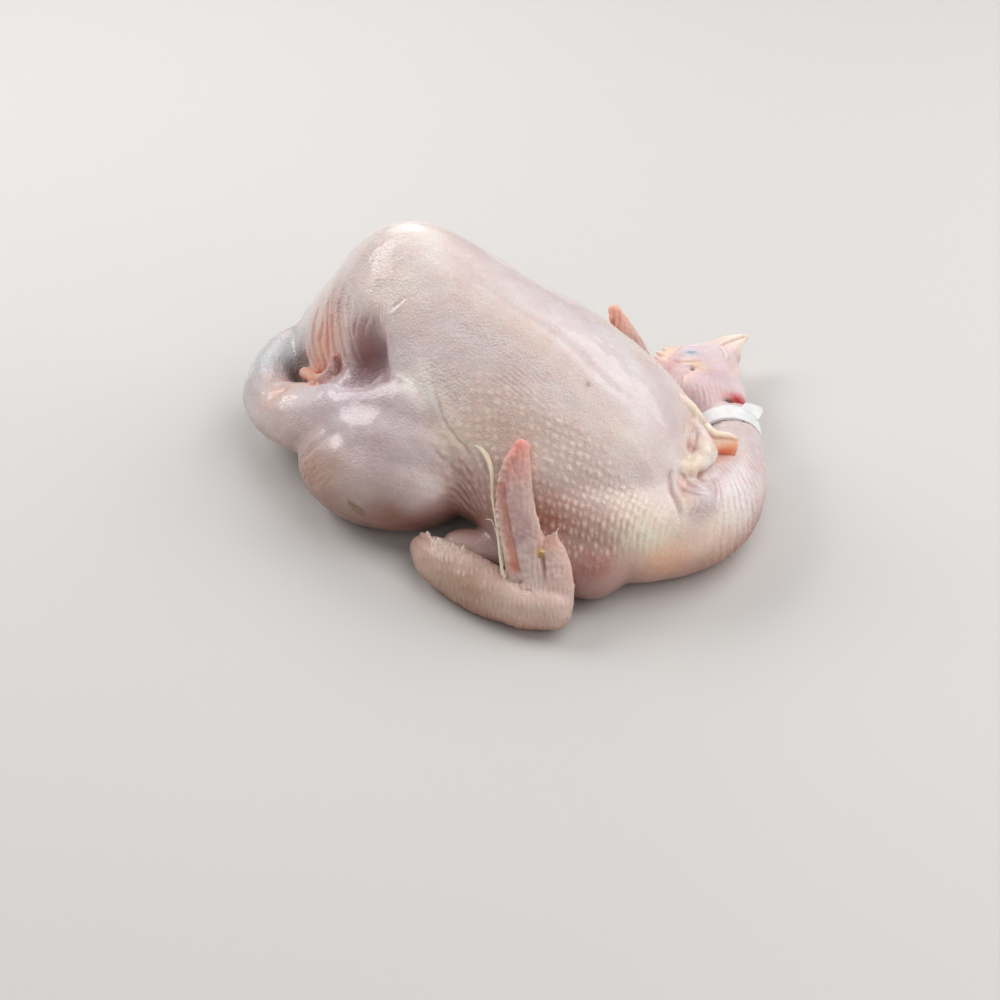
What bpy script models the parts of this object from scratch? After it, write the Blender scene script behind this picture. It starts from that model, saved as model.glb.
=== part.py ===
"""Whole raw chicken with its head on, lying on its back, and the plastic band round its neck.

Two solids, in metres, Z up. The spine runs along X with the neck end at +X, the breast is up
and the bird's left side is at -Y. The origin is under the middle of the bounding box. Trunk,
limbs and head are lofts of oval sections along curved spines, which melt into one skin, and
the underside is cut flat where the bird rests.
"""

import math

import bmesh
import bpy
import numpy as np
from mathutils import Vector

MM = 0.001  # every size below is in millimetres

# How the skin is made.
BODY_GRAIN = 3.0  # voxels where trunk, thighs, drumsticks and neck melt together
SKIN_GRAIN = 2.2  # voxels of the whole bird
BODY_SOFTENING = 7  # smoothing rounds
SKIN_SOFTENING = 2
SKIN_TRIANGLES = 9000
RING = 28  # corners of an oval section
SPACING = 4.0  # from one section to the next
ROUND_END = (15, 35, 55, 75)  # degrees of latitude of the sections that close a limb

# Where the bird lies.
MIDDLE = (-1.3, 30.6)  # of the bounding box, in the axes of the tables below
SINK = 0.8  # how much of the underside is flattened by its own weight

# Trunk, tail to neck: x, back, keel, half width, height of the widest line.
TRUNK = (
    (-141, 18, 36, 8, 26),
    (-134, 8, 46, 17, 24),
    (-122, 3, 64, 28, 24),
    (-107, 1, 84, 37, 25),
    (-90, 0, 106, 43, 30),
    (-72, 0, 121, 48, 40),
    (-52, 0, 125, 53, 50),
    (-20, 0, 116, 60, 53),
    (20, 0, 106, 65, 48),
    (50, 0, 96, 65, 43),
    (78, 1, 82, 59, 38),
    (98, 4, 67, 47.5, 33),
    (110, 10, 54, 34, 31),
    (116, 20, 42, 16, 30),
)
KEEL_POWER = 1.75  # 2 is an oval, less is a sharper keel
BACK_POWER = 2.7  # more is a flatter back

# Every limb below: x, y, z of its spine, half width, half height.
TAIL = (
    (-116, 0, 16, 17, 10),
    (-132, 0, 13, 14, 8),
    (-141, 0, 12, 9, 5),
)
THIGH = (
    (-60, -60, 24, 16, 18),
    (-45, -68, 26, 25, 25),
    (-24, -69, 29, 28.5, 28),
    (-2, -62, 32, 27, 27),
    (13, -51, 37, 20, 22),
)
DRUMSTICK = (  # knee to hock, then the shank that turns in under the belly skin
    (8, -44, 52, 20, 22),
    (-14, -48, 54, 23, 25),
    (-42, -54, 47, 22.5, 23),
    (-68, -61, 36, 20.5, 20),
    (-93, -62, 30, 16.5, 16),
    (-112, -54, 29, 14, 14),
    (-123, -39, 29.5, 13.5, 13.5),
    (-127, -21, 32, 13, 13),
    (-121, -3, 34, 12, 12),
)
KNEE = (  # flesh across the hollow between thigh and drumstick
    (-46, -62, 41, 19, 20),
    (-28, -62, 42, 24, 25),
    (-8, -59, 44, 25, 24),
    (13, -54, 45, 19, 20),
)
WEB = (  # skin from the drumstick over the knee to the flank
    (-30, -44, 66, 9, 9),
    (-9, -43, 72, 10, 10),
    (5, -46, 67, 11, 11),
    (18, -50, 59, 12, 12),
    (32, -54, 51, 11, 11),
    (46, -58, 41, 8, 8),
)
BREAST_SIDE = (  # the left flank's bulge, which runs over to the neck
    (30, -44, 34, 22, 22),
    (60, -46, 36, 22, 22),
    (86, -40, 35, 22, 21),
    (106, -22, 33, 21, 19),
    (118, 2, 31, 18, 17),
)
SHOULDER = (  # the left one, on which the bird leans
    (50, -46, 27, 22, 24),
    (76, -51, 23, 24, 22),
    (94, -45, 21, 23.5, 21),
)
NECK = (  # round the front of the breast to the right side
    (76, -32, 29, 28, 27),
    (99, -26, 25, 25.5, 24),
    (115, -6, 23, 23.5, 23),
    (119, 17, 22, 23, 22),
    (111, 43, 21, 20.5, 21),
    (100, 62, 20.5, 17.5, 18),
    (88.5, 77.8, 20, 14.5, 15),
    (75.5, 91, 18.5, 14.5, 14),
    (62, 102, 16.5, 16.5, 13.5),
    (53, 109, 15, 18, 13),
)
SKULL = (
    (54, 106, 14, 15, 11),
    (45, 116, 14, 20.5, 13.5),
    (39, 127.5, 14, 20.5, 14),
    (39.5, 138, 15, 16.5, 12),
    (40.5, 145.5, 17, 9.5, 8.5),
)
BEAK = (
    (38, 140, 17, 9, 7),
    (40, 147, 19, 7, 6),
    (42, 155, 21, 4.5, 4),
    (43.5, 162.5, 22, 1.6, 1.6),
)
COMB = (
    (25, 139, 17, 3, 2.5),
    (20, 132, 18, 4, 2.5),
    (17, 123, 18, 5, 2.5),
    (20, 114, 17, 4, 2.5),
)

# The left wing lies folded beside the breast with its hand up.
LEFT_WING = {
    "upper arm": (
        (84, -44, 28, 15, 15),
        (62, -60, 18, 11, 11),
        (36, -75, 13, 9, 9),
    ),
    "forearm": (
        (21, -85, 12, 6, 7),
        (33, -88, 13, 11, 11),
        (60, -89.5, 12, 12.5, 12.5),
        (84, -87, 12, 11.5, 11.5),
        (99, -82, 13, 9.5, 10),
    ),
    "hand": (
        (94, -81, 14, 10, 6),
        (87.5, -81, 21, 11, 5.5),
        (77, -76, 35, 11, 5),
        (68, -71, 50, 9.5, 4.5),
        (60.5, -62, 64, 7.5, 4),
        (58.5, -54.5, 74, 4, 3),
    ),
    "thumb": (
        (99, -79, 16, 8, 5),
        (96, -74, 28, 7, 4),
        (92, -69, 38, 4, 3),
        (89, -66, 44, 1.5, 1.5),
    ),
}
# The right wing is the same further back, where the neck leaves it room.
RIGHT_WING = {
    "upper arm": (
        (66, 44, 30, 16, 16),
        (32, 62, 24, 12, 12),
        (-14, 74, 17, 9, 9),
    ),
    "forearm": (
        (-36, 80, 13, 7, 8),
        (-26, 86, 13, 11, 11),
        (0, 90, 12, 12.5, 12.5),
        (24, 87, 12, 11, 11),
        (38, 81, 14, 8.5, 9),
    ),
    "hand": (
        (38, 81, 14, 9, 6),
        (32, 81, 28, 9, 5),
        (25, 80, 44, 8, 4.5),
        (18, 78, 58, 6, 4),
        (13.5, 77, 68, 3.5, 3),
    ),
}
HAND_FACES = (0.55, -0.75, 0.3)  # the way the flat of a hand looks

# Fat and the lip of skin at the opening where the neck leaves the breast.
FAT = (
    (98, 42, 50, 3, 3),
    (104, 34, 48, 5.5, 7),
    (109, 24, 46, 6, 7),
    (112, 12, 44, 4, 6),
)
LIP = (
    (96, 36, 52, 3.5, 3),
    (101, 47, 46, 5, 4.5),
    (105, 56, 42, 6, 4),
    (108, 61, 40, 4, 3.5),
)

# Loose belly skin: folds that hang down the left side, and the rolled edge under them.
FOLDS = 7
FOLD_X = -110  # of the first one
FOLD_PITCH = 7
FOLD_TURN = (120, 185)  # degrees round the trunk from +Y over the keel
FOLD_RADIUS = 2.4
BELLY_EDGE = (
    (-106, -34, 46, 3, 3),
    (-92, -40, 49, 4, 4),
    (-78, -45, 52, 4, 4),
    (-66, -48, 55, 3, 3),
)

# The band, a strip wound once round the neck whose end runs on as a tail.
BAND_CENTER = (91.4, 75.9, 20)
BAND_AXIS = (-0.64, 0.77, 0)  # along the neck towards the head
BAND_HALF_WIDE = 19.0
BAND_HALF_HIGH = 17.4
BAND_WIDTH = 11.5
BAND_THICK = 0.6
BAND_START = 45  # degrees from the side away from the trunk, over the top
BAND_TURN = -350
BAND_CREEP = 0.045  # share by which the winding grows
BAND_SLIP = 3.5  # how far it drifts along the neck
BAND_TAIL = 8
BAND_STEPS = 64


def put_in(collection, made):
    """Moves an object to one collection only."""
    for home in list(made.users_collection):
        home.objects.unlink(made)
    collection.objects.link(made)


def mesh_object(name, mesh):
    """An object of a bmesh, which it frees."""
    data = bpy.data.meshes.new(name)
    mesh.to_mesh(data)
    mesh.free()
    made = bpy.data.objects.new(name, data)
    bpy.context.scene.collection.objects.link(made)
    return made


def smooth_path(stations, step):
    """The stations' numbers along a Catmull-Rom curve, a row about every step."""
    knots = np.array(stations, float)
    knots = np.vstack((2 * knots[0] - knots[1], knots, 2 * knots[-1] - knots[-2]))
    rows = []
    for a, b, c, d in zip(knots, knots[1:], knots[2:], knots[3:]):
        steps = max(2, round(np.linalg.norm((c - b)[:3]) / step))
        for t in np.arange(steps) / steps:
            bend = (2 * a - 5 * b + 4 * c - d) * t + (3 * b - a - 3 * c + d) * t * t
            rows.append(b + 0.5 * t * ((c - a) + bend))
    rows.append(knots[-2])
    return np.array(rows)


def loft(name, rings):
    """A closed mesh object over rings of equal length."""
    mesh = bmesh.new()
    loops = [[mesh.verts.new(Vector(p) * MM) for p in ring] for ring in rings]
    for low, high in zip(loops, loops[1:]):
        for i in range(len(low)):
            j = (i + 1) % len(low)
            mesh.faces.new((low[i], low[j], high[j], high[i]))
    mesh.faces.new(loops[0][::-1])
    mesh.faces.new(loops[-1])
    bmesh.ops.recalc_face_normals(mesh, faces=mesh.faces)
    return mesh_object(name, mesh)


def trunk_ring(row):
    """The trunk's section: a blunt wedge with the keel on top and a flatter back."""
    x, back, keel, half, waist = row
    turns = np.arange(2 * RING) * math.pi / RING
    ups = np.sin(turns)
    sides = np.cos(turns)
    bend = np.where(ups > 0, 2 / KEEL_POWER, 2 / BACK_POWER)
    reach = np.where(ups > 0, keel - waist, waist - back)
    y = half * np.sign(sides) * np.abs(sides) ** bend
    z = waist + reach * np.sign(ups) * np.abs(ups) ** bend
    return np.column_stack((np.full_like(y, x), y, z))


def trunk():
    return loft("trunk", [trunk_ring(row) for row in smooth_path(TRUNK, SPACING)])


def limb(name, stations, faces=(0, 0, 1), mirrored=False):
    """Ovals along the stations' spine, with round ends. Their half height is towards faces."""
    rows = smooth_path(stations, SPACING)
    if mirrored:
        rows = rows * (1, -1, 1, 1, 1)
    ways = np.gradient(rows[:, :3], axis=0)
    ways /= np.linalg.norm(ways, axis=1)[:, None]
    turns = np.arange(RING) * 2 * math.pi / RING
    last = len(rows) - 1
    rings = []
    for k, (row, way) in enumerate(zip(rows, ways)):
        across = np.cross(way, faces)
        across /= np.linalg.norm(across)
        up = np.cross(across, way)
        latitudes = (0,)
        if k == 0:
            latitudes = [-angle for angle in ROUND_END[::-1]] + [0]
        if k == last:
            latitudes = (0, *ROUND_END)
        for angle in latitudes:
            slope = math.radians(angle)
            center = row[:3] + way * math.sin(slope) * min(row[3:])
            wide = across * row[3] * math.cos(slope)
            high = up * row[4] * math.cos(slope)
            ring = center + np.outer(np.cos(turns), wide) + np.outer(np.sin(turns), high)
            rings.append(ring)
    return loft(name, rings)


def pair(name, stations):
    """A limb and its mirror image."""
    return [limb(name + " left", stations), limb(name + " right", stations, mirrored=True)]


def wing(side, bones):
    made = []
    for name, stations in bones.items():
        flat = name in ("hand", "thumb")
        made.append(limb(f"{name} {side}", stations, HAND_FACES if flat else (0, 0, 1)))
    return made


def belly_folds():
    """Folds along the trunk's own sections, a little proud of it."""
    rows = smooth_path(TRUNK, 1)
    first, last = (round(RING * turn / 180) for turn in FOLD_TURN)
    made = []
    for k in range(FOLDS):
        x = FOLD_X + k * FOLD_PITCH
        row = rows[np.argmin(abs(rows[:, 0] - x))]
        spine = trunk_ring(row)[first : last + 1 : 2]
        stations = [(*point, FOLD_RADIUS, FOLD_RADIUS) for point in spine]
        made.append(limb(f"belly fold {k}", stations, faces=(1, 0, 0)))
    return made


def melt(name, pieces, grain, rounds):
    """One smooth skin round all the pieces, which it removes."""
    depsgraph = bpy.context.evaluated_depsgraph_get()
    union = bmesh.new()
    for piece in pieces:
        union.from_mesh(bpy.data.meshes.new_from_object(piece.evaluated_get(depsgraph)))
        bpy.data.objects.remove(piece)
    made = mesh_object(name, union)
    remesh = made.modifiers.new("one skin", "REMESH")
    remesh.mode = "VOXEL"
    remesh.voxel_size = grain * MM
    soften = made.modifiers.new("soft flesh", "SMOOTH")
    soften.factor = 0.5
    soften.iterations = rounds
    return made


def material(name, color, roughness):
    made = bpy.data.materials.new(name)
    made.use_nodes = True
    shader = made.node_tree.nodes["Principled BSDF"]
    shader.inputs["Base Color"].default_value = (*color, 1)
    shader.inputs["Roughness"].default_value = roughness
    shader.inputs["Metallic"].default_value = 0
    return made


def place(made):
    made.location = Vector((-MIDDLE[0], -MIDDLE[1], -SINK)) * MM


def ground(cutters):
    """The block below the resting plane, which flattens what would sink into it."""
    bpy.ops.mesh.primitive_cube_add(size=1, location=(0, 0, -0.05))
    block = bpy.context.object
    block.name = "ground"
    block.scale = (0.5, 0.5, 0.1)
    block.hide_render = True
    block.display_type = "WIRE"
    put_in(cutters, block)
    return block


def chicken(parts, cutters):
    flesh = [trunk(), limb("neck", NECK), limb("shoulder", SHOULDER), limb("tail", TAIL)]
    flesh += [limb("breast side", BREAST_SIDE)]
    flesh += pair("thigh", THIGH) + pair("drumstick", DRUMSTICK)
    flesh += pair("knee", KNEE) + pair("web", WEB)
    pieces = [melt("body", flesh, BODY_GRAIN, BODY_SOFTENING)]
    pieces += [limb("skull", SKULL), limb("beak", BEAK), limb("comb", COMB)]
    pieces += wing("left", LEFT_WING) + wing("right", RIGHT_WING)
    pieces += [limb("fat", FAT), limb("lip", LIP), limb("belly edge", BELLY_EDGE)]
    pieces += belly_folds()
    bird = melt("chicken", pieces, SKIN_GRAIN, SKIN_SOFTENING)
    place(bird)

    whole = bird.evaluated_get(bpy.context.evaluated_depsgraph_get()).data
    whole.calc_loop_triangles()
    thin = bird.modifiers.new("fewer triangles", "DECIMATE")
    thin.ratio = SKIN_TRIANGLES / len(whole.loop_triangles)
    rest = bird.modifiers.new("flat underside", "BOOLEAN")
    rest.operation = "DIFFERENCE"
    rest.object = ground(cutters)
    bird.data.shade_smooth()
    bird.data.materials.append(material("raw skin", (0.80, 0.62, 0.57), 0.38))
    put_in(parts, bird)


def neck_tag(parts):
    center = Vector(BAND_CENTER)
    along = Vector(BAND_AXIS).normalized()
    across = along.cross(Vector((0, 0, 1)))
    middles = []
    for k in range(BAND_STEPS + 1):
        share = k / BAND_STEPS
        turn = math.radians(BAND_START + BAND_TURN * share)
        out = across * math.cos(turn) * BAND_HALF_WIDE
        out += Vector((0, 0, 1)) * math.sin(turn) * BAND_HALF_HIGH
        middles.append(center + out * (1 + BAND_CREEP * share) + along * BAND_SLIP * share)
    onward = (middles[-1] - middles[-2]).normalized()
    middles.append(middles[-1] + onward * BAND_TAIL)

    mesh = bmesh.new()
    half = along * BAND_WIDTH / 2
    edges = [
        (mesh.verts.new((p - half) * MM), mesh.verts.new((p + half) * MM)) for p in middles
    ]
    for (a, b), (d, c) in zip(edges, edges[1:]):
        mesh.faces.new((a, b, c, d))
    band = mesh_object("neck_tag", mesh)
    place(band)
    strip = band.modifiers.new("strip", "SOLIDIFY")
    strip.thickness = BAND_THICK * MM
    strip.offset = 0
    band.data.materials.append(material("white plastic", (0.86, 0.87, 0.87), 0.35))
    put_in(parts, band)


for old in list(bpy.data.objects):
    bpy.data.objects.remove(old)
raw_chicken = bpy.data.collections.new("raw chicken")
cutting = bpy.data.collections.new("cutters")
for collection in (raw_chicken, cutting):
    bpy.context.scene.collection.children.link(collection)
chicken(raw_chicken, cutting)
neck_tag(raw_chicken)
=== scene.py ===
"""The looks of the whole raw chicken: its skin, folds, feather bumps, head, wings and neck band.

Places and sizes below are in millimetres, in the bird's own axes: x along the spine towards the
neck end, y from the spine to the bird's right side, z up from its back, as it lies.
"""

import itertools
import math
from functools import cached_property

import bmesh
import bpy
import numpy as np
from mathutils import Matrix, Vector
from mathutils.kdtree import KDTree

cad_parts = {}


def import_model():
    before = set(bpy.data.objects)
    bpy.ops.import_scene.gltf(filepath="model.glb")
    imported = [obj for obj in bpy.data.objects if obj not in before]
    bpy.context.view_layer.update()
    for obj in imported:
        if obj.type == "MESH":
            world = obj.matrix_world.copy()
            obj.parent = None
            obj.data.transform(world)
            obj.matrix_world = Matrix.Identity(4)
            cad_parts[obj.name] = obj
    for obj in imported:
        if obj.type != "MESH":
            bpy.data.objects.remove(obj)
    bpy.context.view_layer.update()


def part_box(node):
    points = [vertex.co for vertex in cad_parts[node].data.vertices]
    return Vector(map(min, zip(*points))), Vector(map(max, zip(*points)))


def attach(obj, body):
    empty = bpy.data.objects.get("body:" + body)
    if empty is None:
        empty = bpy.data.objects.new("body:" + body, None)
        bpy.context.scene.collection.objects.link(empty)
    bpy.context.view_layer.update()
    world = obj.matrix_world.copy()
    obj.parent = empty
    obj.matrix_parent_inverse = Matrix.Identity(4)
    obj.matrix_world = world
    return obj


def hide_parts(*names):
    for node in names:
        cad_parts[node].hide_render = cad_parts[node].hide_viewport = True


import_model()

MM = 0.001
LOW = np.array(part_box("chicken")[0]) / MM  # the least x, y and z of the bird in the frame
BIRD_LOW = np.array((-144.4, -101.85, 0.8))  # the same in the bird's own axes
SPINE = BIRD_LOW - LOW  # from the bird's own axes to the frame's
RING = 28  # corners of an oval section
ROUND_END = (15, 35, 55, 75)  # degrees of latitude of the sections that close a limb

# ---------------------------------------------------------------- the bird's main forms

# Trunk, tail to neck: x, back, keel, half width, height of the widest line.
TRUNK = (
    (-141, 18, 36, 8, 26),
    (-134, 8, 46, 17, 24),
    (-122, 3, 64, 28, 24),
    (-107, 1, 84, 37, 25),
    (-90, 0, 106, 43, 30),
    (-72, 0, 121, 48, 40),
    (-52, 0, 125, 53, 50),
    (-20, 0, 116, 60, 53),
    (20, 0, 106, 65, 48),
    (50, 0, 96, 65, 43),
    (78, 1, 82, 59, 38),
    (98, 4, 67, 47.5, 33),
    (110, 10, 54, 34, 31),
    (116, 20, 42, 16, 30),
)
KEEL_POWER = 1.75  # 2 is an oval, less is a sharper keel
BACK_POWER = 2.7  # more is a flatter back

# Limbs: x, y, z of the spine, half width, half height.
TAIL = ((-116, 0, 16, 17, 10), (-132, 0, 13, 14, 8), (-141, 0, 12, 9, 5))
THIGH = (
    (-60, -60, 24, 16, 18),
    (-45, -68, 26, 25, 25),
    (-24, -69, 29, 28.5, 28),
    (-2, -62, 32, 27, 27),
    (13, -51, 37, 20, 22),
)
DRUMSTICK = (
    (8, -44, 52, 20, 22),
    (-14, -48, 54, 23, 25),
    (-42, -54, 47, 22.5, 23),
    (-68, -61, 36, 20.5, 20),
    (-93, -62, 30, 16.5, 16),
    (-112, -54, 29, 14, 14),
    (-123, -39, 29.5, 13.5, 13.5),
    (-127, -21, 32, 13, 13),
    (-121, -3, 34, 12, 12),
)
KNEE = (
    (-46, -62, 41, 19, 20),
    (-28, -62, 42, 24, 25),
    (-8, -59, 44, 25, 24),
    (13, -54, 45, 19, 20),
)
WEB = (
    (-30, -44, 66, 9, 9),
    (-9, -43, 72, 10, 10),
    (5, -46, 67, 11, 11),
    (18, -50, 59, 12, 12),
    (32, -54, 51, 11, 11),
    (46, -58, 41, 8, 8),
)
BREAST_SIDE = (
    (30, -44, 34, 22, 22),
    (60, -46, 36, 22, 22),
    (86, -40, 35, 22, 21),
    (106, -22, 33, 21, 19),
    (118, 2, 31, 18, 17),
)
SHOULDER = ((50, -46, 27, 22, 24), (76, -51, 23, 24, 22), (94, -45, 21, 23.5, 21))
NECK = (
    (76, -32, 29, 28, 27),
    (99, -26, 25, 25.5, 24),
    (115, -6, 23, 23.5, 23),
    (119, 17, 22, 23, 22),
    (111, 43, 21, 20.5, 21),
    (100, 62, 20.5, 17.5, 18),
    (95.2, 71.3, 20.2, 16, 16.5),
)
LEFT_ARM = ((84, -44, 28, 15, 15), (62, -60, 18, 11, 11), (36, -75, 13, 9, 9))
RIGHT_ARM = ((66, 44, 30, 16, 16), (32, 62, 24, 12, 12), (-14, 74, 17, 9, 9))

# Beyond the band: the last of the neck, the head laid on its side, beak and comb.
HEAD_NECK = (
    (87.6, 80.5, 20, 14.5, 15),
    (75.5, 91, 18.5, 14.5, 14),
    (62, 102, 16.5, 16.5, 13.5),
    (53, 109, 15, 18, 13),
)
SKULL = (
    (54, 106, 14, 15, 11),
    (45, 116, 14, 20.5, 13.5),
    (39, 127.5, 14, 20.5, 14),
    (39.5, 138, 15, 16.5, 12),
    (40.5, 145.5, 17, 9.5, 8.5),
)
THROAT = (
    (50, 138, 16, 4, 4),
    (54, 130.5, 16, 6, 6),
    (57, 124, 16.5, 7, 7),
    (64.7, 115.6, 17.5, 8, 8),
    (70.3, 106, 19, 9, 9),
    (76, 99, 20, 9, 10),
)
BEAK = (
    (38, 140, 17, 10.5, 7),
    (39.5, 147, 19, 9, 6),
    (40.5, 154, 20.5, 6.5, 4.2),
    (43, 160.5, 21.5, 2.6, 2.2),
    (44.6, 163, 22, 0.9, 0.9),
)
COMB = (
    (25, 138, 18, 2, 2),
    (21, 130, 19, 3, 2.5),
    (19, 122, 19, 3.5, 2.5),
    (22, 114, 18, 3, 2.5),
)
COMB_TIPS = (
    (20, 111, 18.5),
    (17.2, 114.2, 20.5),
    (15.3, 118.5, 21),
    (18.5, 113, 19.5),
    (14, 116.5, 19),
    (12.6, 120.3, 19.5),
    (14.2, 124.2, 20.5),
    (16.6, 127.6, 20.5),
    (18.4, 130.6, 20.5),
)
COMB_FINGER = np.array((6, 1, -1))  # from a finger's tip to its root
FINGER_SIZES = ((2.0, 1.7), (1.6, 1.4), (1.0, 0.9))  # half width and height, root to tip

LEFT_FOREARM = (
    (21, -85, 12, 6, 7),
    (33, -88, 13, 11, 11),
    (60, -89.5, 12, 12.5, 12.5),
    (84, -87, 12, 11.5, 11.5),
    (99, -82, 13, 9.5, 10),
)
LEFT_HAND = (
    (94, -81, 14, 10, 6),
    (87.5, -81, 21, 11, 5.5),
    (77, -76, 35, 11, 5),
    (68, -71, 50, 9.5, 4.5),
    (60.5, -62, 64, 7.5, 4),
    (58.5, -54.5, 74, 4, 3),
)
LEFT_THUMB = (
    (99, -79, 16, 8.5, 5),
    (95.5, -74.5, 27, 8, 4),
    (91, -70.5, 35, 6, 3),
    (87.8, -67.5, 39.5, 3.4, 2),
)
RIGHT_FOREARM = (
    (-36, 80, 13, 7, 8),
    (-26, 86, 13, 11, 11),
    (0, 90, 12, 12.5, 12.5),
    (24, 87, 12, 11, 11),
    (38, 81, 14, 8.5, 9),
)
RIGHT_HAND = (
    (38, 81, 14, 9, 6),
    (32, 81, 28, 9, 5),
    (25, 80, 44, 8, 4.5),
    (18, 78, 58, 6, 4),
    (13.5, 77, 68, 3.5, 3),
)
HAND_FACES = (0.55, -0.75, 0.3)  # the way the flat of a hand faces

# At the opening where the neck leaves the breast.
FAT = (
    (97, 31, 56, 4, 4),
    (103, 29, 52, 5, 5),
    (108.5, 23, 48.5, 8.2, 7.6),
    (110, 15, 46.8, 8.4, 7.6),
    (109.5, 7, 48, 7, 6.6),
    (106.5, 1.5, 51.5, 5, 4.6),
    (103, 0, 55, 3, 2.5),
)
# The turned edge of the breast's skin, and its free end.
LIP = (
    (70, 37, 67, 2.5, 2.5),
    (80, 37.5, 63.5, 3, 3),
    (88, 38, 61, 3.2, 3.2),
    (95, 37.5, 56.5, 3.2, 3.2),
    (100, 38.5, 52.5, 2.8, 2.8),
)
LIP_END = (
    (95.7, 38.6, 54, 1.8, 1.8),
    (100.8, 37, 53, 2.2, 2.2),
    (105.1, 37.4, 51.2, 2.3, 2.1),
    (108, 40.4, 50, 2.0, 1.8),
    (110.7, 43.4, 49, 1.7, 1.5),
    (113.3, 45.6, 47.2, 1.1, 1.1),
)
# A sheet of orange skin that hangs from the lip, with its half height up the view.
SHEET = (
    (104.5, 33.6, 48.4, 1.3, 3.6),
    (107.6, 36.3, 46.8, 1.3, 4.4),
    (110.9, 39.6, 45.6, 1.2, 4.9),
    (114.6, 42.9, 43.9, 1.0, 4.6),
)

# The camera's own upward and sideways directions.
UP_THE_VIEW = np.array((-0.383, 0.465, 0.8))
ACROSS_THE_VIEW = np.array((0.77, 0.64, 0))

# The band, a strip wound round the neck whose rounded end stands off.
BAND_CENTER = np.array((89.8, 74.6, 20))
BAND_AXIS = np.array((-0.64, 0.77, 0))  # along the neck towards the head
BAND_HALF_WIDE = 17.2
BAND_HALF_HIGH = 17.0
BAND_WIDTH = 11.5
BAND_THICK = 0.6
BAND_START = 165  # degrees from the side away from the trunk, over the top
BAND_TURN = -475  # its second layer lies under the first
BAND_CREEP = 0.06  # share by which the winding narrows
BAND_SLIP = 9.0  # how far the end drifts towards the head
BAND_SLIP_FROM = 0.955  # share of the winding where the drift begins
BAND_STEPS = 240
ACROSS_STEPS = 8
TAB_LENGTH = 9  # of the rounded end that stands off
TAB_LIFT = 0.15  # how steeply it stands off
TAB_SPREAD = 0.35  # how much wider it is
TAB_TWIST = 26  # degrees it is turned in its own plane
TAB_CORNER = 3  # radius of its corners
TAB_STEPS = 18


def smooth_path(stations, step):
    """The stations' numbers along a Catmull-Rom curve, a row about every step."""
    knots = np.array(stations, float)
    knots = np.vstack((2 * knots[0] - knots[1], knots, 2 * knots[-1] - knots[-2]))
    rows = []
    for a, b, c, d in zip(knots, knots[1:], knots[2:], knots[3:]):
        steps = max(2, round(np.linalg.norm((c - b)[:3]) / step))
        for t in np.arange(steps) / steps:
            bend = (2 * a - 5 * b + 4 * c - d) * t + (3 * b - a - 3 * c + d) * t * t
            rows.append(b + 0.5 * t * ((c - a) + bend))
    rows.append(knots[-2])
    return np.array(rows)


def unit(vectors):
    """The vectors at length one."""
    return vectors / np.linalg.norm(vectors, axis=-1, keepdims=True)


def mirrored(stations):
    """The same limb on the bird's other side."""
    return np.array(stations, float) * (1, -1, 1, 1, 1)


def loft(rings):
    """Vertices and faces of a closed tube over rings of equal length."""
    count = len(rings[0])
    corner = np.arange(count)
    nxt = (corner + 1) % count
    faces = []
    for k in range(len(rings) - 1):
        low, high = k * count, (k + 1) * count
        faces += np.column_stack((low + corner, low + nxt, high + nxt, high + corner)).tolist()
    last = (len(rings) - 1) * count
    faces.append(corner[::-1].tolist())
    faces.append((last + corner).tolist())
    return np.vstack(rings), faces


def trunk_ring(row):
    """The outline of the trunk at one of its rows."""
    x, back, keel, half, waist = row
    turns = np.arange(2 * RING) * math.pi / RING
    ups = np.sin(turns)
    sides = np.cos(turns)
    bend = np.where(ups > 0, 2 / KEEL_POWER, 2 / BACK_POWER)
    reach = np.where(ups > 0, keel - waist, waist - back)
    y = half * np.sign(sides) * np.abs(sides) ** bend
    z = waist + reach * np.sign(ups) * np.abs(ups) ** bend
    return np.column_stack((np.full_like(y, x), y, z))


def limb(stations, faces=(0, 0, 1), step=3.0):
    """A closed tube of ovals along the stations' spine, their half height towards faces."""
    rows = smooth_path(stations, step)
    ways = unit(np.gradient(rows[:, :3], axis=0))
    turns = np.arange(RING) * 2 * math.pi / RING
    last = len(rows) - 1
    rings = []
    for k, (row, way) in enumerate(zip(rows, ways)):
        across = unit(np.cross(way, faces))
        up = np.cross(across, way)
        latitudes = (0,)
        if k == 0:
            latitudes = [-angle for angle in ROUND_END[::-1]] + [0]
        if k == last:
            latitudes = (0, *ROUND_END)
        for angle in latitudes:
            slope = math.radians(angle)
            center = row[:3] + way * math.sin(slope) * min(row[3:])
            wide = across * row[3] * math.cos(slope)
            high = up * row[4] * math.cos(slope)
            rings.append(center + np.outer(np.cos(turns), wide) + np.outer(np.sin(turns), high))
    return loft(rings)


# ---------------------------------------------------------------- meshes as arrays


def placed(name, data, place=(0, 0, 0)):
    """A new object in the scene."""
    made = bpy.data.objects.new(name, data)
    made.location = place
    bpy.context.scene.collection.objects.link(made)
    return made


def new_object(name, points, faces):
    """A mesh object of points in the bird's axes."""
    mesh = bpy.data.meshes.new(name)
    mesh.from_pydata(((points - SPINE) * MM).tolist(), [], faces)
    return placed(name, mesh)


def evaluated(made):
    """The object's mesh as its modifiers leave it."""
    return bpy.data.meshes.new_from_object(
        made.evaluated_get(bpy.context.evaluated_depsgraph_get())
    )


def arrays(mesh):
    """Points in the bird's axes, and the faces, of a mesh of quads."""
    points = np.zeros(len(mesh.vertices) * 3, np.float32)
    mesh.vertices.foreach_get("co", points)
    corners = np.zeros(len(mesh.loops), np.int32)
    mesh.loops.foreach_get("vertex_index", corners)
    return points.reshape(-1, 3).astype(float) / MM + SPINE, corners.reshape(-1, 4)


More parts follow.
